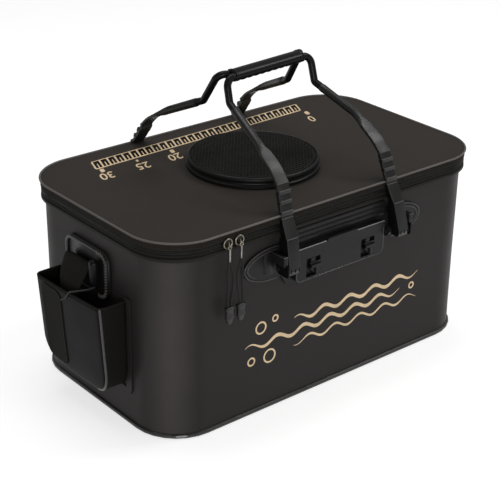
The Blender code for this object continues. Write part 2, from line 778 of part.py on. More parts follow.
def make_pocket(soft, welt):
    end_flat("pocket_flange", (flange_outline(),), END_X - CLEAR, FLANGE, welt)
    mesh = bpy.data.meshes.new("pump_pocket")
    work = bmesh.new()
    bmesh.ops.create_cube(work, size=2.0)
    for vert in work.verts:
        outward, across, up = (value > 0 for value in vert.co)
        depth = 0.0 if outward else POCKET_DEEP - (0.0 if up else POCKET_LESS_BELOW)
        vert.co.x = POCKET_BACK - depth
        vert.co.y = POCKET_Y1 if across else POCKET_Y0
        vert.co.z = POCKET_Z1 if up else POCKET_Z0
    top = max(work.faces, key=lambda face: face.calc_center_median().z)
    back = max(work.faces, key=lambda face: face.calc_center_median().x)
    bmesh.ops.delete(work, geom=[top, back], context="FACES_ONLY")
    outer = [edge for edge in work.edges if all(vert.co.x < POCKET_BACK - CLEAR for vert in edge.verts)]
    outer = [edge for edge in outer if not edge.is_boundary]
    bmesh.ops.bevel(work, geom=outer, offset=POCKET_BEVEL, segments=3, profile=0.5, affect="EDGES")
    bmesh.ops.recalc_face_normals(work, faces=work.faces)
    work.to_mesh(mesh)
    work.free()
    shade(mesh)
    pocket = link(bpy.data.objects.new("pump_pocket", mesh), soft)
    shell = pocket.modifiers.new("wall", "SOLIDIFY")
    shell.thickness = POCKET_WALL
    shell.offset = -1.0
    return pocket


def make_patch(webbing):
    """The strip sewn to the pocket's outer face, which leans with it."""
    half_y = (PATCH_Y1 - PATCH_Y0) / 2
    lean = math.atan2(POCKET_LESS_BELOW, POCKET_Z1 - POCKET_Z0)
    tall = (POCKET_Z1 - POCKET_Z0 - PATCH_DROP - PATCH_RISE) / math.cos(lean)
    outline = rounded(half_y, tall / 2, PATCH_CORNER, 4)
    middle_z = (POCKET_Z1 - PATCH_DROP + POCKET_Z0 + PATCH_RISE) / 2
    face = POCKET_FACE + POCKET_LESS_BELOW * (POCKET_Z1 - middle_z) / (POCKET_Z1 - POCKET_Z0)
    middle_y = (PATCH_Y0 + PATCH_Y1) / 2
    out = (CLEAR + PATCH / 2) / math.cos(lean)
    patch = flat("pocket_patch", (outline,), PATCH, (face - out, middle_y, middle_z), webbing)
    patch.rotation_euler = (math.pi / 2 - lean, 0.0, math.pi / 2)
    return patch


def make_boot(rubber, hard, webbing, cord):
    outline = rounded(BOOT_HALF_Y, BOOT_HALF_Z, BOOT_CORNER, 5, (BOOT_Y, BOOT_Z))
    inner = (BOOT_HALF_Y - WELT_WIDE, BOOT_HALF_Z - WELT_WIDE, BOOT_CORNER - WELT_WIDE)
    hole = rounded(*inner, 5, (BOOT_Y, BOOT_Z))
    end_flat("side_boot", (outline,), END_X - CLEAR, BOOT, rubber)
    end_flat("boot_welt", (outline, hole), BOOT_FACE - CLEAR, WELT, rubber)
    make_boot_bar(hard)
    make_webbing(webbing)
    make_cord(cord)


def make_boot_bar(hard):
    """An upright pin with round ends."""
    half = BAR_TALL / 2
    top = [(0.0, half)]
    for step in range(1, 5):
        angle = math.radians(90 - 22.5 * step)
        top.append((BAR_RADIUS * math.cos(angle), half - BAR_RADIUS * (1 - math.sin(angle))))
    foot = [(r, -z) for r, z in reversed(top)]
    turned("boot_bar", top + foot, (BAR_X, BAR_Y, BAR_FOOT + half), hard, steps=16)


def make_webbing(webbing):
    """The wide tape from the boot down into the pocket, seen from the front and extruded along Y."""
    x = BOOT_FACE - CLEAR - WEBBING / 2
    top = BOOT_Z + WEBBING_RISE
    curve = [(x - share * WEBBING_REACH, top - drop) for share, drop in WEBBING_CURVE]
    route = [(x, top), *curve, (x - WEBBING_REACH, POCKET_Z1 - WEBBING_SUNK)]
    outline = offset_line(route, WEBBING / 2) + offset_line(route, -WEBBING / 2)[::-1]
    middle = (0.0, BOOT_Y + WEBBING_ASIDE, 0.0)
    flat("pocket_webbing", (outline,), 2 * WEBBING_HALF, middle, webbing, UPRIGHT)


def make_cord(cord):
    """The thin cord from the bar, over the pocket's rim to the sewn strip."""
    over = POCKET_FACE - CORD - CLEAR
    rest = POCKET_Z1 + CORD + CLEAR
    y1, y2, y3, y4, y5 = (BAR_Y + aside for aside in CORD_ASIDE)
    z1, z2, z3 = (POCKET_Z1 - down for down in CORD_DOWN)
    route = (
        (BAR_X, BAR_Y, BAR_FOOT - CORD - 2 * CLEAR),
        (BAR_X - CORD_RUN, y1, rest + CLEAR),
        (POCKET_FACE + 2 * POCKET_WALL, y2, rest + CORD_SAG),
        (over, y3, rest),
        (over - CORD_SAG, y4, z1),
        (over, y5, z2),
        (over, PATCH_Y0 - CORD - CLEAR, z3),
    )
    tube("pocket_cord", smooth(route), CORD, cord, resolution=1)


def smooth(points, steps=4):
    """A curve through the points, with even steps between them."""
    made = []
    full = [points[0], *points, points[-1]]
    for a, b, c, d in zip(full, full[1:], full[2:], full[3:]):
        a, b, c, d = (Vector(p) for p in (a, b, c, d))
        for step in range(steps):
            t = step / steps
            square = (2 * a - 5 * b + 4 * c - d) * t**2
            cube = (3 * b - a - 3 * c + d) * t**3
            made.append(0.5 * (2 * b + (c - a) * t + square + cube))
    made.append(Vector(points[-1]))
    return made


def build():
    soft = material("foam_sheet", (0.035, 0.033, 0.033), 0.5)
    lid_soft = material("lid_sheet", (0.045, 0.038, 0.034), 0.55)
    welt = material("welt", (0.06, 0.06, 0.06), 0.4)
    webbing = material("webbing", (0.022, 0.021, 0.016), 0.85)
    coil = material("zip_coil", (0.012, 0.012, 0.012), 0.45)
    hard = material("moulded", (0.025, 0.025, 0.025), 0.35)
    rubber = material("rubber", (0.02, 0.02, 0.02), 0.5)
    gloss = material("gloss", (0.015, 0.015, 0.015), 0.12)
    screen = material("screen", (0.02, 0.02, 0.018), 0.8)
    metal = material("slider_metal", (0.62, 0.57, 0.48), 0.25, 1.0)
    steel = material("pin_steel", (0.45, 0.45, 0.45), 0.3, 1.0)
    cord = material("cord", (0.02, 0.02, 0.02), 0.8)
    make_base(soft, welt)
    make_rim(webbing, hard, coil)
    make_lid(lid_soft, webbing, coil, welt)
    make_vent(hard, screen)
    for side, word in ((-1, "front"), (1, "rear")):
        make_plate(f"{word}_plate", side, hard)
        make_pin(f"{word}_left_pin", -PIN_X, side, steel)
        make_pin(f"{word}_right_pin", PIN_X, side, steel)
    make_handles(rubber, gloss, gloss)
    make_rail(hard)
    for name, x in (("left", LEFT_SLIDER_X), ("right", RIGHT_SLIDER_X)):
        make_slider(f"{name}_slider", x, metal)
        make_pull(f"{name}_pull", x, metal, cord, rubber)
    make_pocket(soft, welt)
    make_patch(webbing)
    make_boot(rubber, gloss, webbing, cord)


clear_scene()
parts = new_collection("folding_fishing_bucket")
cutters = new_collection("joined_helpers")
build()
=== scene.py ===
"""The looks of a folding fishing bucket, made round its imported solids.

Metres, +Z up. The origin is the centre of the floor's underside, +X runs along the length and -Y
is the front.
"""
import math

import bmesh
import bpy
from mathutils import Matrix, Vector


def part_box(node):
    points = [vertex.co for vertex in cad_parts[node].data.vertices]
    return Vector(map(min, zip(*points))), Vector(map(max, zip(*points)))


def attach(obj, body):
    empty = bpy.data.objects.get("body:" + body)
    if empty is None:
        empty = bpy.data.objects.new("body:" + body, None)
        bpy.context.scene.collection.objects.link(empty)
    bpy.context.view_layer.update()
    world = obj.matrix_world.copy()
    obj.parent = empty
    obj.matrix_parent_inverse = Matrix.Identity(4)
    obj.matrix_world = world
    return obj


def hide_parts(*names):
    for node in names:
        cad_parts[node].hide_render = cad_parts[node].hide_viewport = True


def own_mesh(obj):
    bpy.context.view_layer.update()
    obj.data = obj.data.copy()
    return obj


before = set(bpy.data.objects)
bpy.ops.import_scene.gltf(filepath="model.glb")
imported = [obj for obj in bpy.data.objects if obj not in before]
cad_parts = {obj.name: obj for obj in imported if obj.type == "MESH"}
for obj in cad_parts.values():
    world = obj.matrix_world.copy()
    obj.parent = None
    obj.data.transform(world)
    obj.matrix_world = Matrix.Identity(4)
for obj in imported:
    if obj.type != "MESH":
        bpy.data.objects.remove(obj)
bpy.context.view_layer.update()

# Camera
CAMERA_AZIMUTH = -39.94
CAMERA_ELEVATION = 25.43
CAMERA_ROLL = 0.908
CAMERA_DISTANCE = 1.7492
CAMERA_TARGET = (-0.0075, 0.0062, 0.1273)
CAMERA_LENS = 98.02
CAMERA_SENSOR = 36.0

# Outline of the body in plan
CORNER = 0.058
CORNER_STEPS = 22
RUN = 0.0065

# Wall
WALL = 0.0025
WALL_ROWS = 30
WALL_WAVE = 0.0007
WALL_SAG = 0.0009

# Rim band, where its lip ends and its tape begins
RIM_SPLIT = 0.52

# Stitches
STITCH = 0.0024
STITCH_PITCH = 0.0036
STITCH_RADIUS = 0.00034

# Zip
TOOTH_PITCH = 0.0021
TOOTH_WIDE = 0.0013
TOOTH_TALL = 0.0019
TOOTH_OUT = 0.0047
TOOTH_IN = 0.0022

# Vent
VENT_STEPS = 120
SCREEN_DEEP = 0.0009
SCREEN_BACK = 0.0030
HOLE_PITCH_U = 0.0039
HOLE_PITCH_V = 0.00305
HOLE_U = 0.0027
HOLE_V = 0.0023
SCREEN_HEM = 0.003
SHADE_DISC_THICK = 0.0004

# Print on the lid
PRINT = 0.00012
RULER_X0 = 0.1730
RULER_X1 = -0.1762
RULER_Y0 = 0.0970
RULER_Y1 = 0.1225
RULER_QUAD = ((0.1610, 0.1044), (0.1724, 0.1287), (-0.1784, 0.0957), (-0.1701, 0.1199))
RULER_UNITS = 30
RULER_FRONT_RAIL = 0.0025
RULER_REAR_RAIL = 0.0018
RULER_TICK = 0.0026
RULER_HALF_TICK = 0.0016
RULER_HALF_TALL = 0.60
NUMBER_TALL = 0.0185
NUMBER_WIDE = 0.80
NUMBER_SIZE = 1.38
NUMBER_BOLD = 0.00025
NUMBER_SLANT = 0.30
NUMBER_Y = 0.0727

# Numerals, each with the place of its middle along the ruler
NUMBERS = (("30", -0.1787), ("25", -0.1257), ("20", -0.0765), ("0", 0.1521))

# Slanted dots by the numerals, as x, y and half height
DOTS = (
    (-0.1745, 0.0890, 0.0050), (-0.1223, 0.0895, 0.0028), (-0.0686, 0.0890, 0.0050),
    (0.1620, 0.0925, 0.0055),
)
DOT_WIDE = 0.62
DOT_SQUARE = 4

# Lid
LID_ROWS = 16
LID_EDGE_DROP = 0.0004
VENT_WALL = 0.0047

# Welted edge of the lid
PIPING_RADIUS = 0.0013
PIPING_INSET = 0.0002
PIPING_RISE = 0.0010
LID_REACH = 0.0019
TAPE_REACH = 0.0026

# How fine the patterns of the looks are, in cycles a metre
SHEET_BLOTCH = 14.0
SHEET_SPECK = 900.0
LEATHER = 620.0
TAPE_BLOTCH = 60.0
TAPE_FUZZ = 1500.0
RUB = 35.0
SPARK = 2200.0
SCRATCH_STRETCH = (60.0, 900.0, 300.0)
SCRATCH_TURN = (0.3, 0.2, 0.6)
METAL_RUB = 160.0
METAL_GRAIN = 1800.0
FOIL_BLOTCH = 90.0
FOIL_THIN = 700.0
CORD_FUZZ = 1600.0

# Painted highlight: paler foam at the front corners
CORNER_HIGHLIGHT_FROM = 0.046
CORNER_HIGHLIGHT_TO = 0.020
CORNER_HIGHLIGHT_GAIN = 2.3

# Sides that repeat, with their signs
QUADRANTS = ((1, 1, 0), (-1, 1, 90), (-1, -1, 180), (1, -1, 270))
FRONT_AND_REAR = (("front", -1), ("rear", 1))
LEFT_AND_RIGHT = (("left", -1), ("right", 1))

# How sharp an edge has to be to be eased
EASE_ANGLE = math.radians(30)


def corners(node):
    low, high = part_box(node)
    return Vector(low), Vector(high)


WALL_LOW, WALL_HIGH = corners("bucket_wall")
HALF_X = WALL_HIGH.x
HALF_Y = WALL_HIGH.y
LID_TOP = corners("lid_panel")[1].z

looks = bpy.data.collections.new("looks")
bpy.context.scene.collection.children.link(looks)


def wire(tree, start, end):
    tree.links.new(start, end)


def math_node(tree, operation, first, second=None):
    made = tree.nodes.new("ShaderNodeMath")
    made.operation = operation
    for socket, value in zip(made.inputs, (first, second)):
        if value is None:
            continue
        if isinstance(value, (int, float)):
            socket.default_value = value
        else:
            wire(tree, value, socket)
    return made.outputs[0]


def noise_node(tree, where, scale, detail=3.0, rough=0.55):
    made = tree.nodes.new("ShaderNodeTexNoise")
    made.inputs["Scale"].default_value = scale
    made.inputs["Detail"].default_value = detail
    made.inputs["Roughness"].default_value = rough
    wire(tree, where, made.inputs["Vector"])
    return made.outputs["Fac"]


def range_node(tree, value, low, high, start=0.3, end=0.7):
    made = tree.nodes.new("ShaderNodeMapRange")
    made.inputs["From Min"].default_value = start
    made.inputs["From Max"].default_value = end
    made.inputs["To Min"].default_value = low
    made.inputs["To Max"].default_value = high
    wire(tree, value, made.inputs["Value"])
    return made.outputs["Result"]


def mix_node(tree, share, first, second):
    made = tree.nodes.new("ShaderNodeMix")
    made.data_type = "RGBA"
    wire(tree, share, made.inputs["Factor"])
    for socket, colour in ((made.inputs["A"], first), (made.inputs["B"], second)):
        if isinstance(colour, tuple):
            socket.default_value = (*colour, 1.0)
        else:
            wire(tree, colour, socket)
    return made.outputs["Result"]


def bump_node(tree, height, depth, before=None):
    made = tree.nodes.new("ShaderNodeBump")
    made.inputs["Distance"].default_value = depth
    made.inputs["Strength"].default_value = 1.0
    wire(tree, height, made.inputs["Height"])
    if before is not None:
        wire(tree, before, made.inputs["Normal"])
    return made.outputs["Normal"]


def new_material(name):
    made = bpy.data.materials.new(name)
    made.use_nodes = True
    tree = made.node_tree
    where = tree.nodes.new("ShaderNodeTexCoord").outputs["Object"]
    return made, tree, tree.nodes["Principled BSDF"], where


def tint(colour, factor):
    return tuple(min(1.0, channel * factor) for channel in colour)


def shades(tree, share, colour, low, high):
    """A colour that goes from low to high times its strength with share."""
    return mix_node(tree, share, tint(colour, low), tint(colour, high))


def dress(shader, tree, colour, rough, normal, gleam=None, metal=None):
    """Wires a look into its shader. gleam and metal are numbers for the whole surface."""
    wire(tree, colour, shader.inputs["Base Color"])
    wire(tree, rough, shader.inputs["Roughness"])
    wire(tree, normal, shader.inputs["Normal"])
    if gleam is not None:
        shader.inputs["Specular IOR Level"].default_value = gleam
    if metal is not None:
        shader.inputs["Metallic"].default_value = metal


def sheet_material(name, colour, rough=0.45, vary=0.10, grain=0.00006, gleam=0.15):
    """Coated foam sheet: a fine leather grain, faint blotches and a satin coat that varies."""
    made, tree, shader, where = new_material(name)
    blotch = noise_node(tree, where, SHEET_BLOTCH, 4.0)
    speck = noise_node(tree, where, SHEET_SPECK, 2.0)
    base = shades(tree, range_node(tree, blotch, 0.0, 1.0), colour, 1 - vary, 1 + vary)
    fleck = range_node(tree, speck, 0.0, 0.35, 0.55, 0.75)
    cells = tree.nodes.new("ShaderNodeTexVoronoi")
    cells.feature = "SMOOTH_F1"
    cells.inputs["Scale"].default_value = LEATHER
    wire(tree, where, cells.inputs["Vector"])
    leather = bump_node(tree, cells.outputs["Distance"], grain)
    dress(shader, tree, mix_node(tree, fleck, base, tint(colour, 1.5)),
          range_node(tree, blotch, rough - 0.05, rough + 0.07),
          bump_node(tree, speck, grain * 0.7, leather), gleam)
    return made


def paint_corner_highlight(made):
    """Paints a highlight into the foam's colour where the wall turns its front corners."""
    tree = made.node_tree
    socket = tree.nodes["Principled BSDF"].inputs["Base Color"]
    plain = socket.links[0].from_socket
    parts = tree.nodes.new("ShaderNodeSeparateXYZ")
    wire(tree, tree.nodes.new("ShaderNodeTexCoord").outputs["Object"], parts.inputs[0])
    reach = []
    for far, half in (
        (math_node(tree, "ABSOLUTE", parts.outputs["X"]), HALF_X),
        (math_node(tree, "MULTIPLY", parts.outputs["Y"], -1.0), HALF_Y),
    ):
        reach.append(range_node(tree, far, 0.0, 1.0, half - CORNER_HIGHLIGHT_FROM, half - CORNER_HIGHLIGHT_TO))
    share = math_node(tree, "MULTIPLY", reach[0], reach[1])
    bright = tree.nodes.new("ShaderNodeMix")
    bright.data_type = "RGBA"
    bright.blend_type = "MULTIPLY"
    bright.inputs["B"].default_value = (CORNER_HIGHLIGHT_GAIN, CORNER_HIGHLIGHT_GAIN, CORNER_HIGHLIGHT_GAIN, 1.0)
    wire(tree, share, bright.inputs["Factor"])
    wire(tree, plain, bright.inputs["A"])
    wire(tree, bright.outputs["Result"], socket)


def weave_height(tree, where, pitch):
    """Over and under threads: u runs round the body and v upwards, whichever way a wall faces."""
    parts = tree.nodes.new("ShaderNodeSeparateXYZ")
    wire(tree, where, parts.inputs[0])
    around = math_node(tree, "ADD", parts.outputs["X"], parts.outputs["Y"])
    turn = 2 * math.pi / pitch
    across = math_node(tree, "SINE", math_node(tree, "MULTIPLY", around, turn))
    upwards = math_node(tree, "SINE", math_node(tree, "MULTIPLY", parts.outputs["Z"], turn))
    return math_node(tree, "MULTIPLY", across, upwards)


def weave_material(name, colour, pitch=0.0016, rough=0.8, depth=0.0002, vary=0.35):
    """Woven tape: threads over and under, worn paler in patches."""
    made, tree, shader, where = new_material(name)
    height = weave_height(tree, where, pitch)
    blotch = noise_node(tree, where, TAPE_BLOTCH, 4.0)
    fuzz = noise_node(tree, where, TAPE_FUZZ, 2.0)
    base = shades(tree, range_node(tree, height, 0.0, 1.0, -0.8, 0.8), colour, 1 - vary, 1 + vary)
    worn = mix_node(tree, range_node(tree, blotch, 0.0, 0.5), base, tint(colour, 1.45))
    threads = bump_node(tree, height, depth)
    dress(shader, tree, worn, range_node(tree, fuzz, rough - 0.08, rough + 0.1),
          bump_node(tree, fuzz, depth * 0.4, threads), 0.12)
    return made


def plastic_material(name, colour, rough=0.4, grain=0.00003, vary=0.15, gleam=0.3, wear=1.0):
    """Moulded plastic or rubber: fine spark texture, rubbed patches and faint scratches."""
    made, tree, shader, where = new_material(name)
    rub = noise_node(tree, where, RUB, 5.0)
    spark = noise_node(tree, where, SPARK, 2.0)
    stretch = tree.nodes.new("ShaderNodeMapping")
    stretch.inputs["Scale"].default_value = SCRATCH_STRETCH
    stretch.inputs["Rotation"].default_value = SCRATCH_TURN
    wire(tree, where, stretch.inputs["Vector"])
    scratch = noise_node(tree, stretch.outputs["Vector"], 1.0, 2.0)
    base = shades(tree, range_node(tree, rub, 0.0, 1.0), colour, 1 - vary, 1 + vary)
    worn = range_node(tree, rub, -0.05 * wear, 0.06 * wear)
    worn = math_node(tree, "ADD", worn, range_node(tree, scratch, -0.04 * wear, 0.06 * wear))
    dress(shader, tree, base, math_node(tree, "ADD", worn, rough),
          bump_node(tree, spark, grain), gleam)
    return made


def metal_material(name, colour, rough=0.28):
    """Cast metal, rubbed brighter in patches."""
    made, tree, shader, where = new_material(name)
    rub = noise_node(tree, where, METAL_RUB, 5.0)
    dress(shader, tree, shades(tree, range_node(tree, rub, 0.0, 1.0), colour, 0.7, 1.15),
          range_node(tree, rub, rough + 0.15, rough - 0.05),
          bump_node(tree, noise_node(tree, where, METAL_GRAIN), 0.00002), metal=1.0)
    return made


def print_material(name, colour):
    """Foil print: a warm metallic ink with small thin spots."""
    made, tree, shader, where = new_material(name)
    blotch = noise_node(tree, where, FOIL_BLOTCH, 4.0)
    thin = noise_node(tree, where, FOIL_THIN, 3.0)
    base = shades(tree, range_node(tree, blotch, 0.0, 1.0), colour, 0.85, 1.1)
    spots = range_node(tree, thin, 0.0, 0.6, 0.62, 0.75)
    dress(shader, tree, mix_node(tree, spots, base, tint(colour, 0.4)),
          range_node(tree, blotch, 0.38, 0.55), bump_node(tree, thin, 0.00002), metal=0.25)
    return made


def braid_material(name, colour, pitch=0.0011):
    """Braided cord: two sets of strands that cross on a slant."""
    made, tree, shader, where = new_material(name)
    parts = tree.nodes.new("ShaderNodeSeparateXYZ")
    wire(tree, where, parts.inputs[0])
    side = math_node(tree, "ADD", parts.outputs["X"], parts.outputs["Y"])
    turn = 2 * math.pi / pitch
    up = math_node(tree, "MULTIPLY", parts.outputs["Z"], turn)
    across = math_node(tree, "MULTIPLY", side, turn * 1.4)
    one = math_node(tree, "SINE", math_node(tree, "ADD", up, across))
    two = math_node(tree, "SINE", math_node(tree, "SUBTRACT", up, across))
    height = math_node(tree, "MAXIMUM", one, two)
    share = range_node(tree, height, 0.0, 1.0, -0.4, 1.0)
    fuzz = noise_node(tree, where, CORD_FUZZ)
    dress(shader, tree, shades(tree, share, colour, 0.5, 1.3),
          range_node(tree, fuzz, 0.7, 0.9), bump_node(tree, height, 0.00025))
    return made


FOAM = sheet_material("foam_sheet", (0.0256, 0.0226, 0.0220), 0.48, gleam=0.12)
# Painted highlight: the wall's foam is made paler down its front corners.
paint_corner_highlight(FOAM)
PANEL = sheet_material("pocket_sheet", (0.0085, 0.0073, 0.0075), 0.42, gleam=0.04)
LINING = sheet_material("lining", (0.040, 0.040, 0.040), 0.5)
LID = sheet_material("lid_sheet", (0.0320, 0.0273, 0.0240), 0.52, gleam=0.08)
LIP = sheet_material("rim_lip", (0.0150, 0.0142, 0.0130), 0.5, gleam=0.1)
WELT = sheet_material("welt", (0.034, 0.032, 0.031), 0.30, gleam=0.5)
EDGE = sheet_material("lid_edge", (0.118, 0.109, 0.103), 0.50, gleam=0.1)
# Pale colour for a painted highlight along the rail's top edge.
RAIL_HIGHLIGHT = sheet_material("rail_painted_highlight", (0.20, 0.19, 0.185), 0.40, gleam=0.5)
# Pale colour for painted highlights on the edges of the strap ribs and ears.
EDGE_HIGHLIGHT = sheet_material("painted_edge_highlight", (0.070, 0.063, 0.058), 0.40, gleam=0.4)
WEBBING = weave_material("webbing", (0.0090, 0.0086, 0.0062))
TAPE = weave_material("edge_tape", (0.0170, 0.0142, 0.0118), 0.0014)
GUSSET = weave_material("gusset", (0.0058, 0.0055, 0.0042), 0.0020)
COIL = plastic_material("zip_coil", (0.006, 0.006, 0.006), 0.42)
MOULDED = plastic_material("moulded", (0.0108, 0.0104, 0.0106), 0.38, gleam=0.18)
RUBBER = plastic_material("rubber", (0.0095, 0.0091, 0.0088), 0.37, 0.00002, gleam=0.35)
GLOSS = plastic_material("gloss", (0.0060, 0.0058, 0.0062), 0.31, 0.000003, 0.08, 0.14, 0.3)
# A darker copy of the rubber: painted shade on the strap blocks' side faces and the ears' cheeks.
SIDE_SHADE = plastic_material("painted_side_shade", (0.0035, 0.0034, 0.0033), 0.5, gleam=0.1)
RING = plastic_material("vent_rim", (0.0052, 0.0052, 0.0050), 0.42, gleam=0.2)
SCREEN = weave_material("screen", (0.0085, 0.0085, 0.0066), 0.0010, 0.75, 0.0001)
# Near black cloth that paints shade: under the vent's openings and in the strap slots.
HOLE_SHADE = weave_material("painted_shade_cloth", (0.0015, 0.0015, 0.0013), 0.0012)
THREAD = braid_material("thread", (0.022, 0.022, 0.020), 0.0009)
BRASS = metal_material("slider_metal", (0.24, 0.215, 0.165), 0.30)
STEEL = metal_material("pin_steel", (0.30, 0.29, 0.27), 0.34)
CORD = braid_material("cord", (0.010, 0.010, 0.010))
PALE_CORD = braid_material("pale_cord", (0.045, 0.045, 0.047))
INK = sheet_material("black_print", (0.0045, 0.0040, 0.0036), 0.5, gleam=0.08)
GOLD = print_material("gold_print", (0.80, 0.61, 0.38))


def piece(name, mesh, body, materials, replaces=(), sharp=38):
    """A finished mesh as a piece that moves with a body."""
    mesh.name = name
    mesh.validate()
    mesh.shade_smooth()
    mesh.set_sharp_from_angle(angle=math.radians(sharp))
    made = bpy.data.objects.new(name, mesh)
    looks.objects.link(made)
    for material in materials if isinstance(materials, tuple) else (materials,):
        mesh.materials.append(material)
    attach(made, body)
    if replaces:
        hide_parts(*replaces)
    return made


def crush(made):
    """Gives a piece its own copy of its mesh."""
    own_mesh(made)
    return made


def wall_piece(name, mesh, materials, replaces=()):
    return crush(piece(name, mesh, "base", materials, replaces))


def ease(made, width, segments=2):
    """Rounds the sharp edges of a piece."""
    bevel = made.modifiers.new("ease", "BEVEL")
    bevel.width = width
    bevel.segments = segments
    bevel.limit_method = "ANGLE"
    bevel.angle_limit = EASE_ANGLE


def thicken(made, thick):
    """Gives a sheet its thickness, inwards."""
    shell = made.modifiers.new("shell", "SOLIDIFY")
    shell.thickness = thick
    shell.offset = -1.0


def skin(work, rows, rings=True, torus=False, caps=False, zone=None):
    """Quads between rows of points. rings closes each row, torus joins the last row to the first."""
    made = [[work.verts.new(point) for point in row] for row in rows]
    row_count = len(made)
    count = len(made[0])
    for i in range(row_count if torus else row_count - 1):
        upper = made[(i + 1) % row_count]
        for j in range(count if rings else count - 1):
            k = (j + 1) % count
            face = work.faces.new((made[i][j], made[i][k], upper[k], upper[j]))
            if zone:
                face.material_index = zone(i, j)
    if caps:
        work.faces.new(made[0][::-1])
        work.faces.new(made[-1])
    return made


def solid(work, bevel=None):
    """The mesh of what has been built, its faces turned outwards."""
    bmesh.ops.recalc_face_normals(work, faces=work.faces)
    if bevel:
        bmesh.ops.bevel(work, geom=work.edges[:], offset=bevel, segments=2, affect="EDGES",
                        profile=0.7)
    mesh = bpy.data.meshes.new("skin")
    work.to_mesh(mesh)
    work.free()
    return mesh


def lofts(parts, bevel=None, **shape):
    """Several lofts as one mesh, closed at their ends."""
    work = bmesh.new()
    for rows in parts:
        skin(work, rows, caps=True, **shape)
    return solid(work, bevel)


def loft(rows, **shape):
    work = bmesh.new()
    skin(work, rows, **shape)
    return solid(work)


def turns(count):
    """The cosine and sine of even steps round a circle."""
    angles = [2 * math.pi * step / count for step in range(count)]
    return [(math.cos(angle), math.sin(angle)) for angle in angles]


def squircles(count, power):
    """Even steps round a circle that is squarer with power."""
    return [[math.copysign(abs(value) ** (2 / power), value) for value in turn]
            for turn in turns(count)]


def quarter(start, steps):
    """The cosine and sine of even steps through the quarter turn that starts at an angle."""
    angles = [math.radians(start + 90 * step / steps) for step in range(steps + 1)]
    return [(math.cos(angle), math.sin(angle)) for angle in angles]


def body_line():
    """Points and outward normals round the body, counter-clockwise from the right end."""
    made = []
    centres = [Vector((a * (HALF_X - CORNER), b * (HALF_Y - CORNER))) for a, b, _ in QUADRANTS]
    for index, (_, _, start) in enumerate(QUADRANTS):
        centre = centres[index]
        run = centres[(index + 1) % 4] - centre
        normals = [Vector(turn) for turn in quarter(start, CORNER_STEPS)]
        made += [(centre + normal * CORNER, normal) for normal in normals]
        count = round(run.length / RUN)
        for step in range(1, count):
            made.append((centre + run * step / count + normals[-1] * CORNER, normals[-1]))
    return made


BODY = body_line()


def ring(out, z):
    return [(p.x + n.x * out, p.y + n.y * out, z) for p, n in BODY]


def hoop(name, section, body, materials, replaces=()):
    """A closed section of (out, z) points carried round the body's outline."""
    rows = [ring(out, z) for out, z in section]
    return piece(name, loft(rows, torus=True), body, materials, replaces)


def rounded_section(outer, inner, foot, top, radius):
    """A rectangle in (out, z) whose outer corners are rounded."""
    points = [(inner, foot)]
    for centre_z, start in ((foot + radius, -90), (top - radius, 0)):
        points += [(outer - radius + radius * c, centre_z + radius * s)
                   for c, s in quarter(start, 4)]
    return points + [(inner, top)]


def wall_wave(x, y, z):
    """How far the soft wall lies inside its true outline."""
    low, high = WALL_LOW.z, WALL_HIGH.z
    share = (z - low) / (high - low)
    belly = math.sin(math.pi * min(max(share, 0.0), 1.0))
    slow = math.sin(x * 17 + z * 9 + 0.6) * math.sin(y * 23 - z * 13 + 1.1)
    quick = math.sin(x * 41 - z * 22) * math.cos(y * 37 + z * 31)
    return -belly * (WALL_SAG * (0.5 + 0.5 * slow) + WALL_WAVE * 0.25 * (1 + quick))


def make_wall():
    low, high = WALL_LOW.z, WALL_HIGH.z
    outer = []
    for row in range(WALL_ROWS + 1):
        z = low + (high - low) * row / WALL_ROWS
        points = []
        for p, n in BODY:
            out = wall_wave(p.x, p.y, z)
            points.append((p.x + n.x * out, p.y + n.y * out, z))
        outer.append(points)
    inner = [[(x - n.x * WALL, y - n.y * WALL, z) for (x, y, z), (_, n) in zip(points, BODY)]
             for points in outer[::-1]]
    mesh = loft(outer + inner, torus=True, zone=lambda i, j: int(i > WALL_ROWS))
    wall_piece("wall_skin", mesh, (FOAM, LINING), ("bucket_wall",))


def along(line, pitch):
    """Even places on a line of (point, out direction): a point, its tangent and its out for each."""
    total = 0.0
    made = []
    for (a, n), (b, m) in zip(line, line[1:]):
        gap = (b - a).length
        if gap == 0.0:
            continue
        while total < gap:
            share = total / gap
            made.append((a.lerp(b, share), (b - a).normalized(), n.lerp(m, share).normalized()))
            total += pitch
        total -= gap
    return made


def body_path(out, z):
    line = [(Vector(point), Vector((n.x, n.y, 0.0))) for point, (_, n) in zip(ring(out, z), BODY)]
    return line + line[:1]


def capsules(places, length, radius, flat=0.7, slant=0.0, sides=6):
    """Small round-ended stitches, each laid along its tangent and sunk to its middle."""
    parts = []
    for point, tangent, out in places:
        side = tangent.cross(out).normalized()
        tangent = (tangent + side * slant).normalized()
        side = tangent.cross(out).normalized()
        parts.append([
            [point + tangent * (share * length) + (side * c + out * (s * flat)) * (radius * width)
             for c, s in turns(sides)]
            for share, width in ((-0.5, 0.35), (-0.34, 1.0), (0.34, 1.0), (0.5, 0.35))
        ])
    return lofts(parts)


def stitches(name, line, body):
    mesh = capsules(along(line, STITCH_PITCH), STITCH, STITCH_RADIUS)
    return piece(name, mesh, body, THREAD)


def make_rim():
    """The rim band: zip tape above and a folded lip of foam sheet below."""
    low, high = corners("rim_band")
    out = high.x - HALF_X
    inner = 0.0003
    split = low.z + (high.z - low.z) * RIM_SPLIT
    lip = rounded_section(out, inner, low.z, split, 0.0014)
    hoop("rim_lip", lip, "rim", LIP, ("rim_band",))
    tape = rounded_section(out - 0.0004, inner, split + 0.0004, high.z, 0.0009)
    hoop("rim_tape", tape, "rim", WEBBING)
    groove = body_path(out, low.z + 0.0012)
    stitches("rim_stitches", groove, "rim")
    stitches("rim_tape_stitches", body_path(out - 0.0004, high.z - 0.0014), "rim")


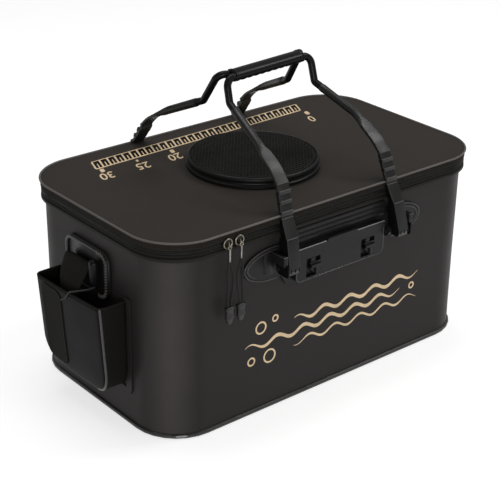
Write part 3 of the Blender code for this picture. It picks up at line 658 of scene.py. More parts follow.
def make_lid_edge():
    low, high = corners("lid_band")
    out = high.x - HALF_X
    section = rounded_section(out, -0.004, low.z, high.z + TAPE_REACH, 0.0012)
    hoop("lid_tape", section, "lid", TAPE, ("lid_band",))
    stitches("lid_stitches", body_path(out, low.z + 0.0016), "lid")
    out = corners("lid_piping")[1].x - HALF_X - PIPING_RADIUS - PIPING_INSET
    middle = LID_TOP + PIPING_RISE - PIPING_RADIUS
    section = [(out + PIPING_RADIUS * c, middle + PIPING_RADIUS * s) for c, s in turns(12)]
    hoop("piping_skin", section, "lid", EDGE, ("lid_piping",))


def teeth(z, up):
    """The teeth of one half of the zip, which point up or down to the other half."""
    parts = []
    for point, tangent, out in along(body_path(0.0, z), TOOTH_PITCH):
        point = point + tangent * (TOOTH_PITCH / 2 if up > 0 else 0.0)
        rows = []
        for reach, wide in ((0.0, 0.62), (0.55, 0.62), (0.72, 1.0), (1.0, 0.75)):
            place = point + Vector((0.0, 0.0, up * reach * TOOTH_TALL))
            across = tangent * (wide * TOOTH_WIDE / 2)
            near = out * TOOTH_IN
            far = out * (TOOTH_OUT - (0.0004 if reach == 1.0 else 0.0))
            rows.append([place - across + near, place + across + near,
                         place + across + far, place - across + far])
        parts.append(rows)
    return lofts(parts)


def make_zip():
    piece("zip_teeth_lower", teeth(corners("zip_lower")[0].z, 1), "rim", COIL)
    piece("zip_teeth_upper", teeth(corners("zip_upper")[1].z, -1), "lid", COIL)


def lid_height(x, y):
    """The lid's top, which the foam leaves very slightly uneven."""
    return LID_TOP + 0.00025 * math.sin(x * 21 + 1.3) * math.sin(y * 33 + 0.4) - 0.00025


def make_lid():
    low, high = corners("lid_panel")
    ring_low, ring_high = corners("vent_ring")
    centre = ((ring_low + ring_high) / 2).xy
    radius = (ring_high.x - ring_low.x) / 2 - VENT_WALL
    edge = [Vector(point).xy for point in ring(high.x - HALF_X + LID_REACH, 0.0)]
    rows = []
    for row in range(LID_ROWS + 1):
        points = []
        for point in edge:
            hole = centre + (point - centre).normalized() * radius
            place = point.lerp(hole, row / LID_ROWS)
            z = lid_height(place.x, place.y) - (LID_EDGE_DROP if row == 0 else 0.0)
            points.append((place.x, place.y, z))
        rows.append(points)
    under = [[(x, y, low.z) for x, y, _ in row] for row in rows[::-1]]
    mesh = loft(rows + under, torus=True, zone=lambda i, j: int(i > LID_ROWS))
    piece("lid_skin", mesh, "lid", (LID, LINING), ("lid_panel",))


def prints(name, loops, depth=PRINT, material=GOLD):
    """Flat outlines laid on the lid as thin raised ink."""
    parts = [[[on_lid(x, y, lift) for x, y in loop] for lift in (-depth, depth)] for loop in loops]
    piece(name, lofts(parts), "lid", material)


def on_lid(x, y, lift):
    return (x, y, lid_height(x, y) + lift)


def box_loop(x0, x1, y0, y1):
    return [(x0, y0), (x1, y0), (x1, y1), (x0, y1)]


def askew(loops):
    """The printed ladder isn't square: its ends lean and it drifts to the rear at its nought."""
    front_right, rear_right, front_left, rear_left = (Vector(corner) for corner in RULER_QUAD)
    made = []
    for loop in loops:
        row = []
        for x, y in loop:
            share = (x - RULER_X0) / (RULER_X1 - RULER_X0)
            back = (y - RULER_Y0) / (RULER_Y1 - RULER_Y0)
            front = front_right.lerp(front_left, share)
            row.append(tuple(front.lerp(rear_right.lerp(rear_left, share), back)))
        made.append(row)
    return made


def make_ruler():
    unit = (RULER_X1 - RULER_X0) / RULER_UNITS
    y0 = RULER_Y0 + RULER_FRONT_RAIL
    y1 = RULER_Y1 - RULER_REAR_RAIL
    half_tick = y0 + (y1 - y0) * RULER_HALF_TALL
    starts = [RULER_X0 + unit * index for index in range(RULER_UNITS + 1)]
    ground = [box_loop(x, x + unit, RULER_Y0, RULER_Y1) for x in starts[:-1]]
    loops = [box_loop(x - RULER_TICK / 2, x + RULER_TICK / 2, y0, y1) for x in starts]
    for x in starts[:-1]:
        middle = x + unit / 2
        loops += [
            box_loop(x, x + unit, RULER_Y0, y0), box_loop(x, x + unit, y1, RULER_Y1),
            box_loop(middle - RULER_HALF_TICK / 2, middle + RULER_HALF_TICK / 2, y0, half_tick),
        ]
    prints("lid_ruler_ground", askew(ground), PRINT / 2, INK)
    prints("lid_ruler", askew(loops))
    prints("lid_dots", [
        [(x + half * (DOT_WIDE * a + NUMBER_SLANT * b), y + half * b)
         for a, b in squircles(16, DOT_SQUARE)]
        for x, y, half in DOTS
    ])


def numeral(words):
    """Plain numerals as a thin mesh about their own middle."""
    curve = bpy.data.curves.new("numeral", "FONT")
    curve.body = words
    curve.size = NUMBER_TALL * NUMBER_SIZE
    curve.align_x = "CENTER"
    curve.align_y = "CENTER"
    curve.extrude = PRINT
    curve.offset = NUMBER_BOLD
    holder = bpy.data.objects.new("numeral", curve)
    looks.objects.link(holder)
    bpy.context.view_layer.update()
    seen = holder.evaluated_get(bpy.context.evaluated_depsgraph_get())
    mesh = bpy.data.meshes.new_from_object(seen)
    bpy.data.objects.remove(holder, do_unlink=True)
    work = bmesh.new()
    work.from_mesh(mesh)
    bmesh.ops.remove_doubles(work, verts=work.verts, dist=0.000001)
    work.to_mesh(mesh)
    work.free()
    return mesh


def make_numbers():
    for words, x in NUMBERS:
        mesh = numeral(words)
        mesh.materials.clear()
        for vert in mesh.vertices:
            u, v, lift = vert.co
            vert.co = on_lid(x - u * NUMBER_WIDE - NUMBER_SLANT * v, NUMBER_Y - v, lift)
        mesh.update()
        piece("lid_number_" + words, mesh, "lid", GOLD)


def lathe(profile, centre, steps, **shape):
    """A (radius, z) profile turned about an upright axis."""
    rows = [[(centre.x + radius * c, centre.y + radius * s, z) for c, s in turns(steps)]
            for radius, z in profile]
    return loft(rows, **shape)


def make_vent():
    low, high = corners("vent_ring")
    foot, top = (corner.z for corner in corners("vent_rib"))
    mesh_low, mesh_high = corners("vent_mesh")
    centre = ((low + high) / 2).xy
    radius = (high.x - low.x) / 2
    inner = radius - VENT_WALL
    lower = (
        (inner, low.z), (radius - 0.0008, low.z), (radius, low.z + 0.0008),
        (radius, high.z - 0.0030), (radius - 0.0008, high.z - 0.0022),
        (radius - 0.0022, high.z - 0.0018), (radius - 0.0026, high.z - 0.0008),
        (radius - 0.0026, high.z), (inner, high.z),
    )
    upper = (
        (inner, foot), (radius - 0.0026, foot), (radius - 0.0012, foot + 0.0008),
        (radius - 0.0008, foot + 0.0020), (radius - 0.0008, top - 0.0026),
        (radius - 0.0014, top - 0.0012), (radius - 0.0026, top - 0.0002), (radius - 0.0038, top),
        (inner + 0.0002, top - 0.0004), (inner, top - 0.0012),
    )
    for name, profile, node in (("vent_foot", lower, "vent_ring"), ("vent_top", upper, "vent_rib")):
        mesh = lathe(profile, centre, VENT_STEPS, torus=True)
        piece(name, mesh, "lid", RING, (node,))
    make_screen(centre, inner - 0.0003, mesh_low.z, mesh_high.z)


def make_screen(centre, radius, low, high):
    """The vent's mesh: a knitted sheet with staggered openings, drawn over a shallow dome."""
    turn = math.radians(CAMERA_AZIMUTH)
    along_x, along_y = math.cos(turn), math.sin(turn)
    work = bmesh.new()
    known = {}

    def vert(u, v):
        key = (round(u * 1e6), round(v * 1e6))
        if key not in known:
            reach = math.hypot(u, v)
            if reach > radius:
                u, v = u * radius / reach, v * radius / reach
            share = min(1.0, reach / radius)
            x = centre.x + u * along_x - v * along_y
            y = centre.y + u * along_y + v * along_x
            known[key] = work.verts.new((x, y, high - (high - low - SCREEN_DEEP) * share**2))
        return known[key]

    columns = int(radius / HOLE_PITCH_U) + 2
    rows = int(radius / HOLE_PITCH_V) + 2
    for row in range(-rows, rows + 1):
        v0 = row * HOLE_PITCH_V
        for column in range(-columns, columns + 1):
            u0 = column * HOLE_PITCH_U
            for i, (a, b) in enumerate(((u0, u0 + HOLE_U), (u0 + HOLE_U, u0 + HOLE_PITCH_U))):
                for j, (c, d) in enumerate(((v0, v0 + HOLE_V), (v0 + HOLE_V, v0 + HOLE_PITCH_V))):
                    inside = math.hypot((a + b) / 2, (c + d) / 2)
                    hole = i == 0 and j == 0 and (row + column) % 2 == 0
                    if inside > radius or (hole and inside < radius - SCREEN_HEM):
                        continue
                    work.faces.new([vert(a, c), vert(b, c), vert(b, d), vert(a, d)])
    bmesh.ops.remove_doubles(work, verts=work.verts, dist=0.00005)
    made = piece("vent_screen", solid(work), "lid", SCREEN, ("vent_mesh",))
    thicken(made, SCREEN_DEEP)
    soft = made.modifiers.new("soft", "SUBSURF")
    soft.levels = 1
    soft.render_levels = 1
    # Painted shade: a black disc under the screen stands for the shade inside the bucket, seen through the
    # openings.
    disc = [(radius * share, low - SCREEN_BACK) for share in (0.02, 0.3, 0.6, 1.0)]
    thicken(piece("vent_shade_disc", lathe(disc, centre, 64), "lid", HOLE_SHADE), SHADE_DISC_THICK)


def frames(path, closed=False):
    """Tangent, side and up at each point of a path, carried along without a twist."""
    tangents = []
    count = len(path)
    for i in range(count):
        before = path[(i - 1) % count] if closed or i else path[0]
        after = path[(i + 1) % count] if closed or i < count - 1 else path[-1]
        tangents.append((after - before).normalized())
    side = tangents[0].orthogonal().normalized()
    made = []
    for tangent in tangents:
        side = (side - tangent * side.dot(tangent)).normalized()
        made.append((tangent, side, tangent.cross(side)))
    return made


def tube(path, radius, sides=14, closed=False):
    """A round tube along a path."""
    path = [Vector(point) for point in path]
    rows = [
        [point + side * (radius * c) + up * (radius * s) for c, s in turns(sides)]
        for point, (_, side, up) in zip(path, frames(path, closed))
    ]
    return loft(rows, torus=closed, caps=not closed)


def smooth(points, steps=6):
    """A curve through the points, with even steps between them."""
    made = []
    points = [Vector(point) for point in points]
    full = [points[0], *points, points[-1]]
    for a, b, c, d in zip(full, full[1:], full[2:], full[3:]):
        for step in range(steps):
            t = step / steps
            square = (2 * a - 5 * b + 4 * c - d) * t**2
            cube = (3 * b - a - 3 * c + d) * t**3
            made.append(0.5 * (2 * b + (c - a) * t + square + cube))
    made.append(points[-1])
    return made


def rounded_loop(half_u, half_v, radius, steps=8, centre=(0.0, 0.0)):
    made = []
    for side_u, side_v, start in QUADRANTS:
        u = centre[0] + side_u * (half_u - radius)
        v = centre[1] + side_v * (half_v - radius)
        made += [(u + radius * c, v + radius * s) for c, s in quarter(start, steps)]
    return made


# Handles
PIN_X = 0.088
STRAP_LEAN = 0.075
FRONT_PIN = corners("front_left_pin")
PIN_Y = -(FRONT_PIN[0].y + FRONT_PIN[1].y) / 2
PIN_Z = (FRONT_PIN[0].z + FRONT_PIN[1].z) / 2
GRIP_LOW, GRIP_HIGH = corners("grip")
GRIP_Y = (GRIP_LOW.y + GRIP_HIGH.y) / 2
GRIP_Z = (GRIP_LOW.z + GRIP_HIGH.z) / 2
GRIP_HALF = GRIP_HIGH.x
BAR_RADIUS = 0.0046
GRIP_TALL = 0.0067
GRIP_DEEP = 0.0106
GRIP_BORE = 0.0047
GRIP_LIFT = (0.0012, 0.0056)
GRIP_BUMPS = 11
GRIP_ROWS = 120
KINK_X = 0.067
KINK_Y = {"front": 0.0235, "rear": 0.0267}
KINK_RISE = {"front": 0.1565, "rear": 0.1466}
SHOULDER_OUT = 0.011
STRAP_END = {"front": (0.0690, 0.1317), "rear": (0.0728, 0.1222)}
LEAN_FROM = Vector((0.0016, 0.0572))
REAR_LEAN = math.radians(16)
REAR_TONGUE = ((0.0260, 0.906), (0.0905, 0.866))
SHOULDER = {"front": (0.0, 0.0), "rear": (0.006, 0.0012)}

# The block of a strap in its side plane, as outer u and v, inner u and v and half width
BLOCK = (
    (-0.0126, -0.0064, 0.0005, -0.0062, 0.0070), (-0.0150, -0.0056, 0.0018, -0.0055, 0.0080),
    (-0.0167, -0.0030, 0.0022, -0.0040, 0.0085), (-0.0183, 0.0006, 0.0022, -0.0010, 0.0085),
    (-0.0094, 0.0366, 0.0020, 0.0375, 0.0085), (-0.0088, 0.0380, 0.0020, 0.0390, 0.0089),
    (0.0016, 0.0572, 0.0060, 0.0560, 0.0090), (0.0026, 0.0586, 0.0064, 0.0572, 0.0090),
)
BLOCK_TOP = 0.058

# The steps of the incline, as u and v of the foot and height
RIBS = ((0.0046, 0.0606, 0.0056), (0.0082, 0.0737, 0.0042), (0.0117, 0.0844, 0.0045))
RIB_LIP = 0.0013

# Pale bars across a strap that paint highlights on its edges, as u, v and half width
HIGHLIGHT_EDGES = (
    (-0.0091, 0.0374, 0.0080), (0.0024, 0.0587, 0.0084), (0.0036, 0.0665, 0.0084),
    (0.0072, 0.0782, 0.0084), (0.0107, 0.0892, 0.0084), (0.0155, 0.0962, 0.0084),
)
HIGHLIGHT_RADIUS = 0.00055
TREAD_TOP = (0.0152, 0.0948)
INNER_FOOT = (0.0064, 0.0572)
INNER_TOP = (0.0196, 0.0925)

# The thin tongue and its sleeve, as u, v, half thickness and half width
TONGUE = (
    (0.0172, 0.0954, 0.0022, 0.0090), (0.0180, 0.0963, 0.0021, 0.0090), (0.0208, 0.0993, 0.0018, 0.0089),
    (0.0245, 0.1032, 0.0018, 0.0089), (0.0290, 0.1075, 0.0018, 0.0089), (0.0340, 0.1113, 0.0018, 0.0088),
    (0.0400, 0.1152, 0.0018, 0.0087), (0.0455, 0.1185, 0.0020, 0.0084), (0.0500, 0.1211, 0.0026, 0.0076),
    (0.0545, 0.1236, 0.0036, 0.0064), (0.0590, 0.1261, 0.0045, 0.0055), (0.0680, 0.1312, 0.0050, 0.0050),
)

# The rest of the sleeve, as share of the way to the kink and radius
SLEEVE = ((0.35, 0.0051), (0.66, 0.0052), (0.80, 0.0053), (0.82, 0.0049))
SLOTS = (-0.0055, 0.0005, 0.0065)
SLOT_PLACE = (0.0178, 0.0012)
CORNER_POINTS = 6


def strap_section(half_u, half_v, radius):
    """A rounded rectangle whose points keep their order as it turns into a circle."""
    return rounded_loop(half_u, half_v, min(radius, half_u - 0.00005, half_v - 0.00005), CORNER_POINTS - 1)


def leant(word, point):
    """The rear straps lean further in above their blocks."""
    if word == "front" or point.y < LEAN_FROM.y:
        return point
    return LEAN_FROM + Matrix.Rotation(-REAR_LEAN, 2) @ (point - LEAN_FROM)


def strap_stations(word):
    """Outer and inner edge of the strap in its side plane, half width, corner and sideways drift."""
    made = [(Vector((a, b)), Vector((c, d)), half, 0.0009, 0.0) for a, b, c, d, half in BLOCK]
    outer = []
    for u, v, tall in RIBS:
        outer += [(u, v, 0.0086), (u - RIB_LIP, v + 0.0004, 0.0090), (u - RIB_LIP, v + tall, 0.0090),
                  (u + 0.0004, v + tall + 0.0006, 0.0086)]
    outer.append((*TREAD_TOP, 0.0084))
    foot, top = Vector(INNER_FOOT), Vector(INNER_TOP)
    for u, v, half in outer:
        share = (v - foot.y) / (TREAD_TOP[1] - foot.y)
        inner = leant(word, foot + (top - foot) * share)
        made.append((leant(word, Vector((u, v))), inner, half, 0.0007, 0.0))
    centres = [Vector((u, v)) for u, v, _, _ in TONGUE]
    if word == "rear":
        (start_u, scale_u), (start_v, scale_v) = REAR_TONGUE
        first = centres[0].copy()
        centres = [Vector((start_u + (c.x - first.x) * scale_u, start_v + (c.y - first.y) * scale_v))
                   for c in centres]
    kink = Vector((PIN_Y - KINK_Y[word], KINK_RISE[word]))
    last = centres[-1]
    halves = [(thick, wide) for _, _, thick, wide in TONGUE]
    drifts = [0.0] * len(centres)
    full = KINK_X - (PIN_X - STRAP_LEAN * kink.y)
    for share, radius in SLEEVE:
        centres.append(last + (kink - last) * share)
        halves.append((radius, radius))
        drifts.append(full * share)
    for i, (centre, (thick, wide), drift) in enumerate(zip(centres, halves, drifts)):
        before = centres[max(i - 1, 0)]
        after = centres[min(i + 1, len(centres) - 1)]
        along_it = (after - before).normalized()
        across = Vector((-along_it.y, along_it.x)) * thick
        corner = min(thick, wide) * (1 if thick > 0.003 else 0.55)
        made.append((centre + across, centre - across, wide, corner, drift))
    return made


def bars(edges, radius=HIGHLIGHT_RADIUS):
    """Short rounded bars along X: pale bars that paint highlights on the edges of ribs and ears."""
    return lofts([
        [[middle + Vector((a * half, radius * thin * c, radius * thin * s)) for c, s in turns(8)]
         for a, thin in ((-1.0, 0.4), (-0.93, 1.0), (0.93, 1.0), (1.0, 0.4))]
        for middle, half in edges
    ])


def make_strap(word, side, which, hand):
    """A handle strap: block, incline, stepped ribs, thin tongue and the sleeve over the bar."""
    rows = []
    for outer, inner, half, corner, drift in strap_stations(word):
        centre = (outer + inner) / 2
        reach = (outer - inner) / 2
        row = []
        for a, b in strap_section(reach.length, half, corner):
            point = centre + reach.normalized() * a
            x = hand * (PIN_X + drift - STRAP_LEAN * point.y) + b
            row.append((x, side * (PIN_Y - point.x), PIN_Z + point.y))
        rows.append(row)
    mesh = loft(rows, caps=True)
    # Painted shade: the block's side faces take the darker copy of the rubber.
    for face in mesh.polygons:
        if abs(face.normal.x) > 0.75 and face.center.z < PIN_Z + BLOCK_TOP:
            face.material_index = 1
    name = f"{word}_{which}_strap"
    body = word + "_handle"
    piece(name + "_skin", mesh, body, (RUBBER, SIDE_SHADE), (name,), 24)
    # Painted highlights: pale bars along the top edges of the ribs, the incline and the block.
    edges = []
    for u, v, half in HIGHLIGHT_EDGES:
        u, v = leant(word, Vector((u, v)))
        edges.append((Vector((hand * (PIN_X - STRAP_LEAN * v), side * (PIN_Y - u), PIN_Z + v)), half))
    piece(name + "_edges", bars(edges), body, EDGE_HIGHLIGHT)
    # Painted shade: dark capsules stand for the slots' shaded insides.
    out, up = SLOT_PLACE
    way = Vector((0.35, side * -0.25, 1)).normalized()
    slots = [(Vector((hand * PIN_X + place, side * (PIN_Y + out), PIN_Z + up)), way, Vector((0, side, 0)))
             for place in SLOTS]
    piece(name + "_slots", capsules(slots, 0.0052, 0.0011, 0.5, sides=8), body, HOLE_SHADE)


def bent(points, radii, steps=10):
    """A route of straight runs whose inner corners are rounded with arcs."""
    made = [Vector(points[0])]
    for before, corner, after, radius in zip(points, points[1:], points[2:], radii):
        corner = Vector(corner)
        back = (Vector(before) - corner).normalized()
        ahead = (Vector(after) - corner).normalized()
        half = back.angle(ahead) / 2
        reach = radius / math.tan(half)
        centre = corner + (back + ahead).normalized() * (radius / math.sin(half))
        first = corner + back * reach - centre
        last = corner + ahead * reach - centre
        for step in range(steps + 1):
            made.append(centre + first.slerp(last, step / steps) * radius)
    made.append(Vector(points[-1]))
    return made


def make_bar(word, side):
    """A handle bar from one strap, over its kinks and shoulders, to the other."""
    u, v = STRAP_END[word]
    start = (PIN_X - STRAP_LEAN * v, side * (PIN_Y - u), PIN_Z + v)
    kink = (KINK_X, side * KINK_Y[word], PIN_Z + KINK_RISE[word])
    back, up = SHOULDER[word]
    bar_y = GRIP_Y + side * 0.005
    right = [start, kink, (GRIP_HALF + SHOULDER_OUT, bar_y + back, GRIP_Z + up)]
    if back:
        right.append((GRIP_HALF - 0.002, bar_y, GRIP_Z))
    left = [(-x, y, z) for x, y, z in right[::-1]]
    right[2:] = [(x, y, z + lift(x)) for x, y, z in right[2:]]
    left[:-2] = [(x, y, z + lift(x)) for x, y, z in left[:-2]]
    bends = (0.005, 0.012) + ((0.006,) if back else ())
    route = bent(right + left, bends + bends[::-1])
    piece(word + "_bar_skin", tube(route, BAR_RADIUS, 20), word + "_handle", GLOSS, (word + "_bar",))


def lift(x):
    """How far the grip and the bars in it hang askew at a place along the grip."""
    share = (x + GRIP_HALF) / (2 * GRIP_HALF)
    return GRIP_LIFT[0] + (GRIP_LIFT[1] - GRIP_LIFT[0]) * share


def grip_section(bump, grow):
    """The grip's section about its middle, round on the outside and open to the rear for the rear bar."""
    half_y = GRIP_DEEP + grow
    top = GRIP_TALL + grow
    start = math.degrees(math.asin(GRIP_BORE / top))
    points = []
    for step in range(33):
        angle = math.radians(start + (360 - 2 * start) * step / 32)
        high = top if angle < math.pi else top + bump
        sine = math.sin(angle)
        points.append((half_y * math.cos(angle), high * sine))
    points[-1] = (points[-1][0], -GRIP_BORE)
    for step in range(11):
        angle = math.radians(270 - 180 * step / 10)
        points.append((-0.0050 + GRIP_BORE * math.cos(angle), GRIP_BORE * math.sin(angle)))
    return points


def make_grip():
    """The moulded grip: collars at its ends and finger bumps below."""
    rows = []
    for step in range(GRIP_ROWS + 1):
        share = step / GRIP_ROWS
        x = -GRIP_HALF + 2 * GRIP_HALF * share
        from_end = min(share, 1 - share) * 2 * GRIP_HALF
        collar = 0.0007 if 0.0010 < from_end < 0.0044 else 0.0
        collar -= 0.0012 * (1 - math.sqrt(max(0.0, 1 - max(0.0, 1 - from_end / 0.0016) ** 2)))
        waves = abs(math.sin(math.pi * share * GRIP_BUMPS))
        bump = 0.0012 * waves if from_end > 0.0048 else 0.0
        rows.append([(x, GRIP_Y + y, GRIP_Z + lift(x) + z) for y, z in grip_section(bump, collar)])
    piece("grip_skin", loft(rows, caps=True), "front_handle", GLOSS, ("grip",))


def make_handles():
    for word, side in FRONT_AND_REAR:
        for which, hand in LEFT_AND_RIGHT:
            make_strap(word, side, which, hand)
        make_bar(word, side)
    make_grip()


# Zip sliders and pulls
GUARD_RADIUS = 0.0056
EYE_RADIUS = 0.0022
PULL_TALL = 0.021
PULL_EYE_DROP = 0.0034

# The moulded end of a pull from its top, as share of its height, width and depth
PULL_END = (
    (0.0, 0.80, 0.60), (0.03, 0.98, 0.90), (0.12, 1.0, 1.0), (0.16, 0.98, 0.96), (0.19, 0.84, 0.82),
    (0.40, 0.82, 0.80), (0.62, 0.90, 0.86), (0.68, 0.92, 0.90), (0.72, 0.74, 0.72), (0.88, 0.60, 0.58),
    (0.96, 0.46, 0.44), (1.0, 0.20, 0.24),
)


def plate(loop, thick, place):
    """A small flat plate with eased rims: place(u, v, lift) puts its points."""
    loop = [Vector(point) for point in loop]
    middle = sum(loop, Vector((0, 0))) / len(loop)
    rows = []
    for rise, shrink in ((0.0, 0.9), (0.15, 1.0), (0.85, 1.0), (1.0, 0.9)):
        rows.append([place(*(middle + (point - middle) * shrink), rise * thick) for point in loop])
    return loft(rows, caps=True)


def make_slider(which):
    """A slider: a round guard, the body inside it and the bridge that the pull hangs on."""
    low, high = corners(which + "_slider")
    x, _, z = (low + high) / 2
    back = high.y
    name = which + "_slider"
    guard = [(x + GUARD_RADIUS * c, back - 0.0015, z + GUARD_RADIUS * s) for c, s in turns(40)]
    mesh = tube(guard, 0.00105, 12, closed=True)
    piece(name + "_guard", mesh, name, BRASS, (name,))
    outline = [(x + a * (0.0026 + 0.0008 * b), z + 0.0002 + b * 0.0042) for a, b in squircles(24, 3)]
    mesh = plate(outline, 0.0020, lambda u, v, rise: (u, back - rise, v))
    piece(name + "_body", mesh, name, COIL)
    bridge = []
    for step in range(13):
        angle = math.radians(180 * step / 12)
        bridge.append((x, back - 0.0018 - 0.0026 * math.sin(angle), z - 0.0020 + 0.0030 * math.cos(angle)))
    piece(name + "_bridge", tube(bridge, 0.0008, 10), name, BRASS)


def make_pull(which):
    """A pull: an eye on the bridge, a slim bar, a looped cord and a moulded end."""
    low, high = corners(which + "_pull_tab")
    x, y, _ = (low + high) / 2
    top = high.z - 0.0008
    name = which + "_pull"
    eye = [(x + EYE_RADIUS * c, y, top - 0.0016 + EYE_RADIUS * s) for c, s in turns(20)]
    mesh = tube(eye, 0.0007, 10, closed=True)
    piece(name + "_eye", mesh, name, BRASS, (name + "_tab",))
    foot = top - PULL_TALL
    head = top - PULL_EYE_DROP
    outline = rounded_loop(0.0010, (head - foot) / 2, 0.0006, 4, (x, (head + foot) / 2))
    mesh = plate(outline, 0.0013, lambda u, v, rise: (u, y + 0.00065 - rise, v))
    piece(name + "_bar", mesh, name, STEEL)
    end_low, end_high = corners(name + "_end")
    lean = 0.0008 if which == "left" else -0.0012
    cords = []
    for hand in (-1, 1):
        spread = hand * (0.0044 if (hand > 0) == (which == "left") else 0.0030)
        cords.append([
            (x, y, foot + 0.0012), (x + hand * 0.0016, y, foot - 0.0030),
            (x + spread + lean, y, foot - 0.0160), (x + spread * 0.9 + lean, y, foot - 0.0300),
            (x + hand * 0.0026, y, end_high.z + 0.0080), (x + hand * 0.0020, y, end_high.z - 0.0010),
        ])
    route = smooth(cords[0][::-1] + cords[1][1:])
    piece(name + "_cord_skin", tube(route, 0.0012, 10), name, CORD, (name + "_cord",))
    half_x, half_y, half_z = (end_high - end_low) / 2
    rows = [
        [(x + a * half_x * wide, y + b * half_y * deep, end_high.z - 2 * half_z * share)
         for a, b in squircles(28, 4)]
        for share, wide, deep in PULL_END
    ]
    piece(name + "_end_skin", loft(rows, caps=True), name, RUBBER, (name + "_end",))


# Lobes of the handle plates
LOBE_X = 0.098
LOBE_HALF_X = 0.044
LOBE_HALF_Z = 0.0215
LOBE_Z = PIN_Z + 0.004
PLATE_FACE = HALF_Y + 0.0003 + 0.0024
LOBE_ROPE = -45
EAR_X = (0.0974, 0.1036)
LEG_X = (0.0973, 0.0993)

# Outline of the lower cheek, as depth and height
LEG = (
    (0.1500, 0.1995), (0.1500, 0.1905), (0.1512, 0.1872), (0.1535, 0.1848), (0.1570, 0.1838),
    (0.1690, 0.1838), (0.1712, 0.1846), (0.1722, 0.1866), (0.1722, 0.1995),
)
EAR_OUT = 0.1690
EAR_LOW = 0.1985
EAR_HIGH = 0.2103
LEG_MIDDLE = Vector((0.1611, 0.1920))
PAD_MIDDLE = (0.1045, 0.1950)
SOCKET_X = 0.044
RAIL_CORNER = 0.008


def lobe_arc(hand, inset, stop=-98, steps=40):
    made = []
    for step in range(steps + 1):
        angle = math.radians(98 + (stop - 98) * step / steps)
        made.append((hand * (LOBE_X + (LOBE_HALF_X - inset) * math.cos(angle)),
                     LOBE_Z + (LOBE_HALF_Z - inset) * math.sin(angle)))
    return made


def make_lobes():
    """Each lobe has a raised rim, doubled and stitched towards its outer end, and an ear by the strap."""
    for word, side in FRONT_AND_REAR:
        for which, hand in LEFT_AND_RIGHT:
            name = f"{word}_{which}_lobe"
            for number, inset, stop, radius in ((1, 0.0012, -98, 0.0009), (2, 0.0054, LOBE_ROPE, 0.0008)):
                path = [(u, side * PLATE_FACE, v) for u, v in lobe_arc(hand, inset, stop)]
                piece(f"{name}_rim_{number}", tube(path, radius, 10), "rim", WELT)
            line = [(Vector((u, side * (PLATE_FACE + 0.0002), v)), Vector((0, side, 0)))
                    for u, v in lobe_arc(hand, 0.0033, LOBE_ROPE)]
            mesh = capsules(along(line, 0.0021), 0.0036, 0.0008, 1.0, 4.0)
            piece(name + "_rope", mesh, "rim", RUBBER)
            make_ear(f"{word}_{which}_ear", side, hand)


def make_ear(name, side, hand):
    """The bracket's outer ear, a block beside the strap, with a pale bar painting a highlight on its edge,
    its ridge and its pad.
    """
    root = PLATE_FACE - 0.0002
    block = ((root, EAR_LOW), (root, EAR_HIGH - 0.0020), (EAR_OUT, EAR_HIGH), (EAR_OUT, EAR_LOW))
    rows = [[(hand * u, side * depth, z) for depth, z in block] for u in EAR_X]
    piece(name, lofts([rows], 0.0008), "rim", MOULDED, (), 30)
    inner, outer = EAR_X
    middle = Vector((hand * (inner + outer) / 2, side * (EAR_OUT - 0.0004), EAR_HIGH - 0.0004))
    # Painted highlight: a pale bar on the ear's top outer edge.
    piece(name + "_edge", bars([(middle, (outer - inner) / 2)]), "rim", EDGE_HIGHLIGHT)
    depths = [PLATE_FACE + (EAR_OUT - PLATE_FACE) * share for share in (0.05, 0.35, 0.65, 0.98)]
    route = [(hand * (outer - 0.0004), side * depth, EAR_HIGH - 0.0003) for depth in depths]
    piece(name + "_ridge", tube(route, 0.0006, 8), "rim", WELT)
    rows = []
    for out, inset in ((-0.0004, 0.0), (0.0003, 0.0), (0.0006, 0.0004)):
        loop = rounded_loop(0.0075 - inset, 0.0150 - inset, 0.004, 6, (hand * PAD_MIDDLE[0], PAD_MIDDLE[1]))
        rows.append([(u, side * (PLATE_FACE + out), v) for u, v in loop])
    piece(name + "_pad", loft(rows, caps=True), "rim", MOULDED, (), 30)


def make_leg(name, side, hand):
    """The ear's lower cheek, which holds the end of the pin; its dark colour is painted shade beside the
    strap.
    """
    inner, outer = LEG_X
    rows = []
    for u, shrink in ((inner, 0.97), (inner + 0.0004, 1.0), (outer - 0.0004, 1.0), (outer, 0.97)):
        loop = [LEG_MIDDLE + (Vector(point) - LEG_MIDDLE) * shrink for point in LEG]
        rows.append([(hand * u, side * point.x, point.y) for point in loop])
    piece(name, loft(rows, caps=True), "rim", SIDE_SHADE, (), 30)


def copied(node):
    """A copy of a node's own mesh, without its material."""
    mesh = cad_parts[node].data.copy()
    mesh.materials.clear()
    return mesh


def make_plates():
    """The bracket plates without their outer ears, which the cheeks stand for, and the pins between."""
    for word, side in FRONT_AND_REAR:
        work = bmesh.new()
        work.from_mesh(copied(word + "_plate"))
        proud = [v for v in work.verts if abs(v.co.x) > 0.0965 and abs(v.co.y) > PLATE_FACE + 0.0002]
        bmesh.ops.delete(work, geom=proud, context="VERTS")
        bmesh.ops.holes_fill(work, edges=[edge for edge in work.edges if edge.is_boundary], sides=0)
        made = piece(word + "_plate_skin", solid(work), "rim", MOULDED, (word + "_plate",))
        ease(made, 0.0004)
        for which, hand in LEFT_AND_RIGHT:
            low, high = corners(f"{word}_{which}_pin")
            radius = (high.z - low.z) / 2
            inner = min(abs(low.x), abs(high.x))
            outer = LEG_X[1]
            rows = [
                [(hand * u, side * PIN_Y + r * c, PIN_Z + r * s) for c, s in turns(24)]
                for u, r in ((inner, radius - 0.0003), (inner + 0.0003, radius), (outer - 0.0004, radius),
                             (outer + 0.0003, radius - 0.0006))
            ]
            name = f"{word}_{which}_pin"
            piece(name + "_skin", loft(rows, caps=True), "rim", MOULDED, (name,))
            make_leg(f"{word}_{which}_cheek", side, hand)


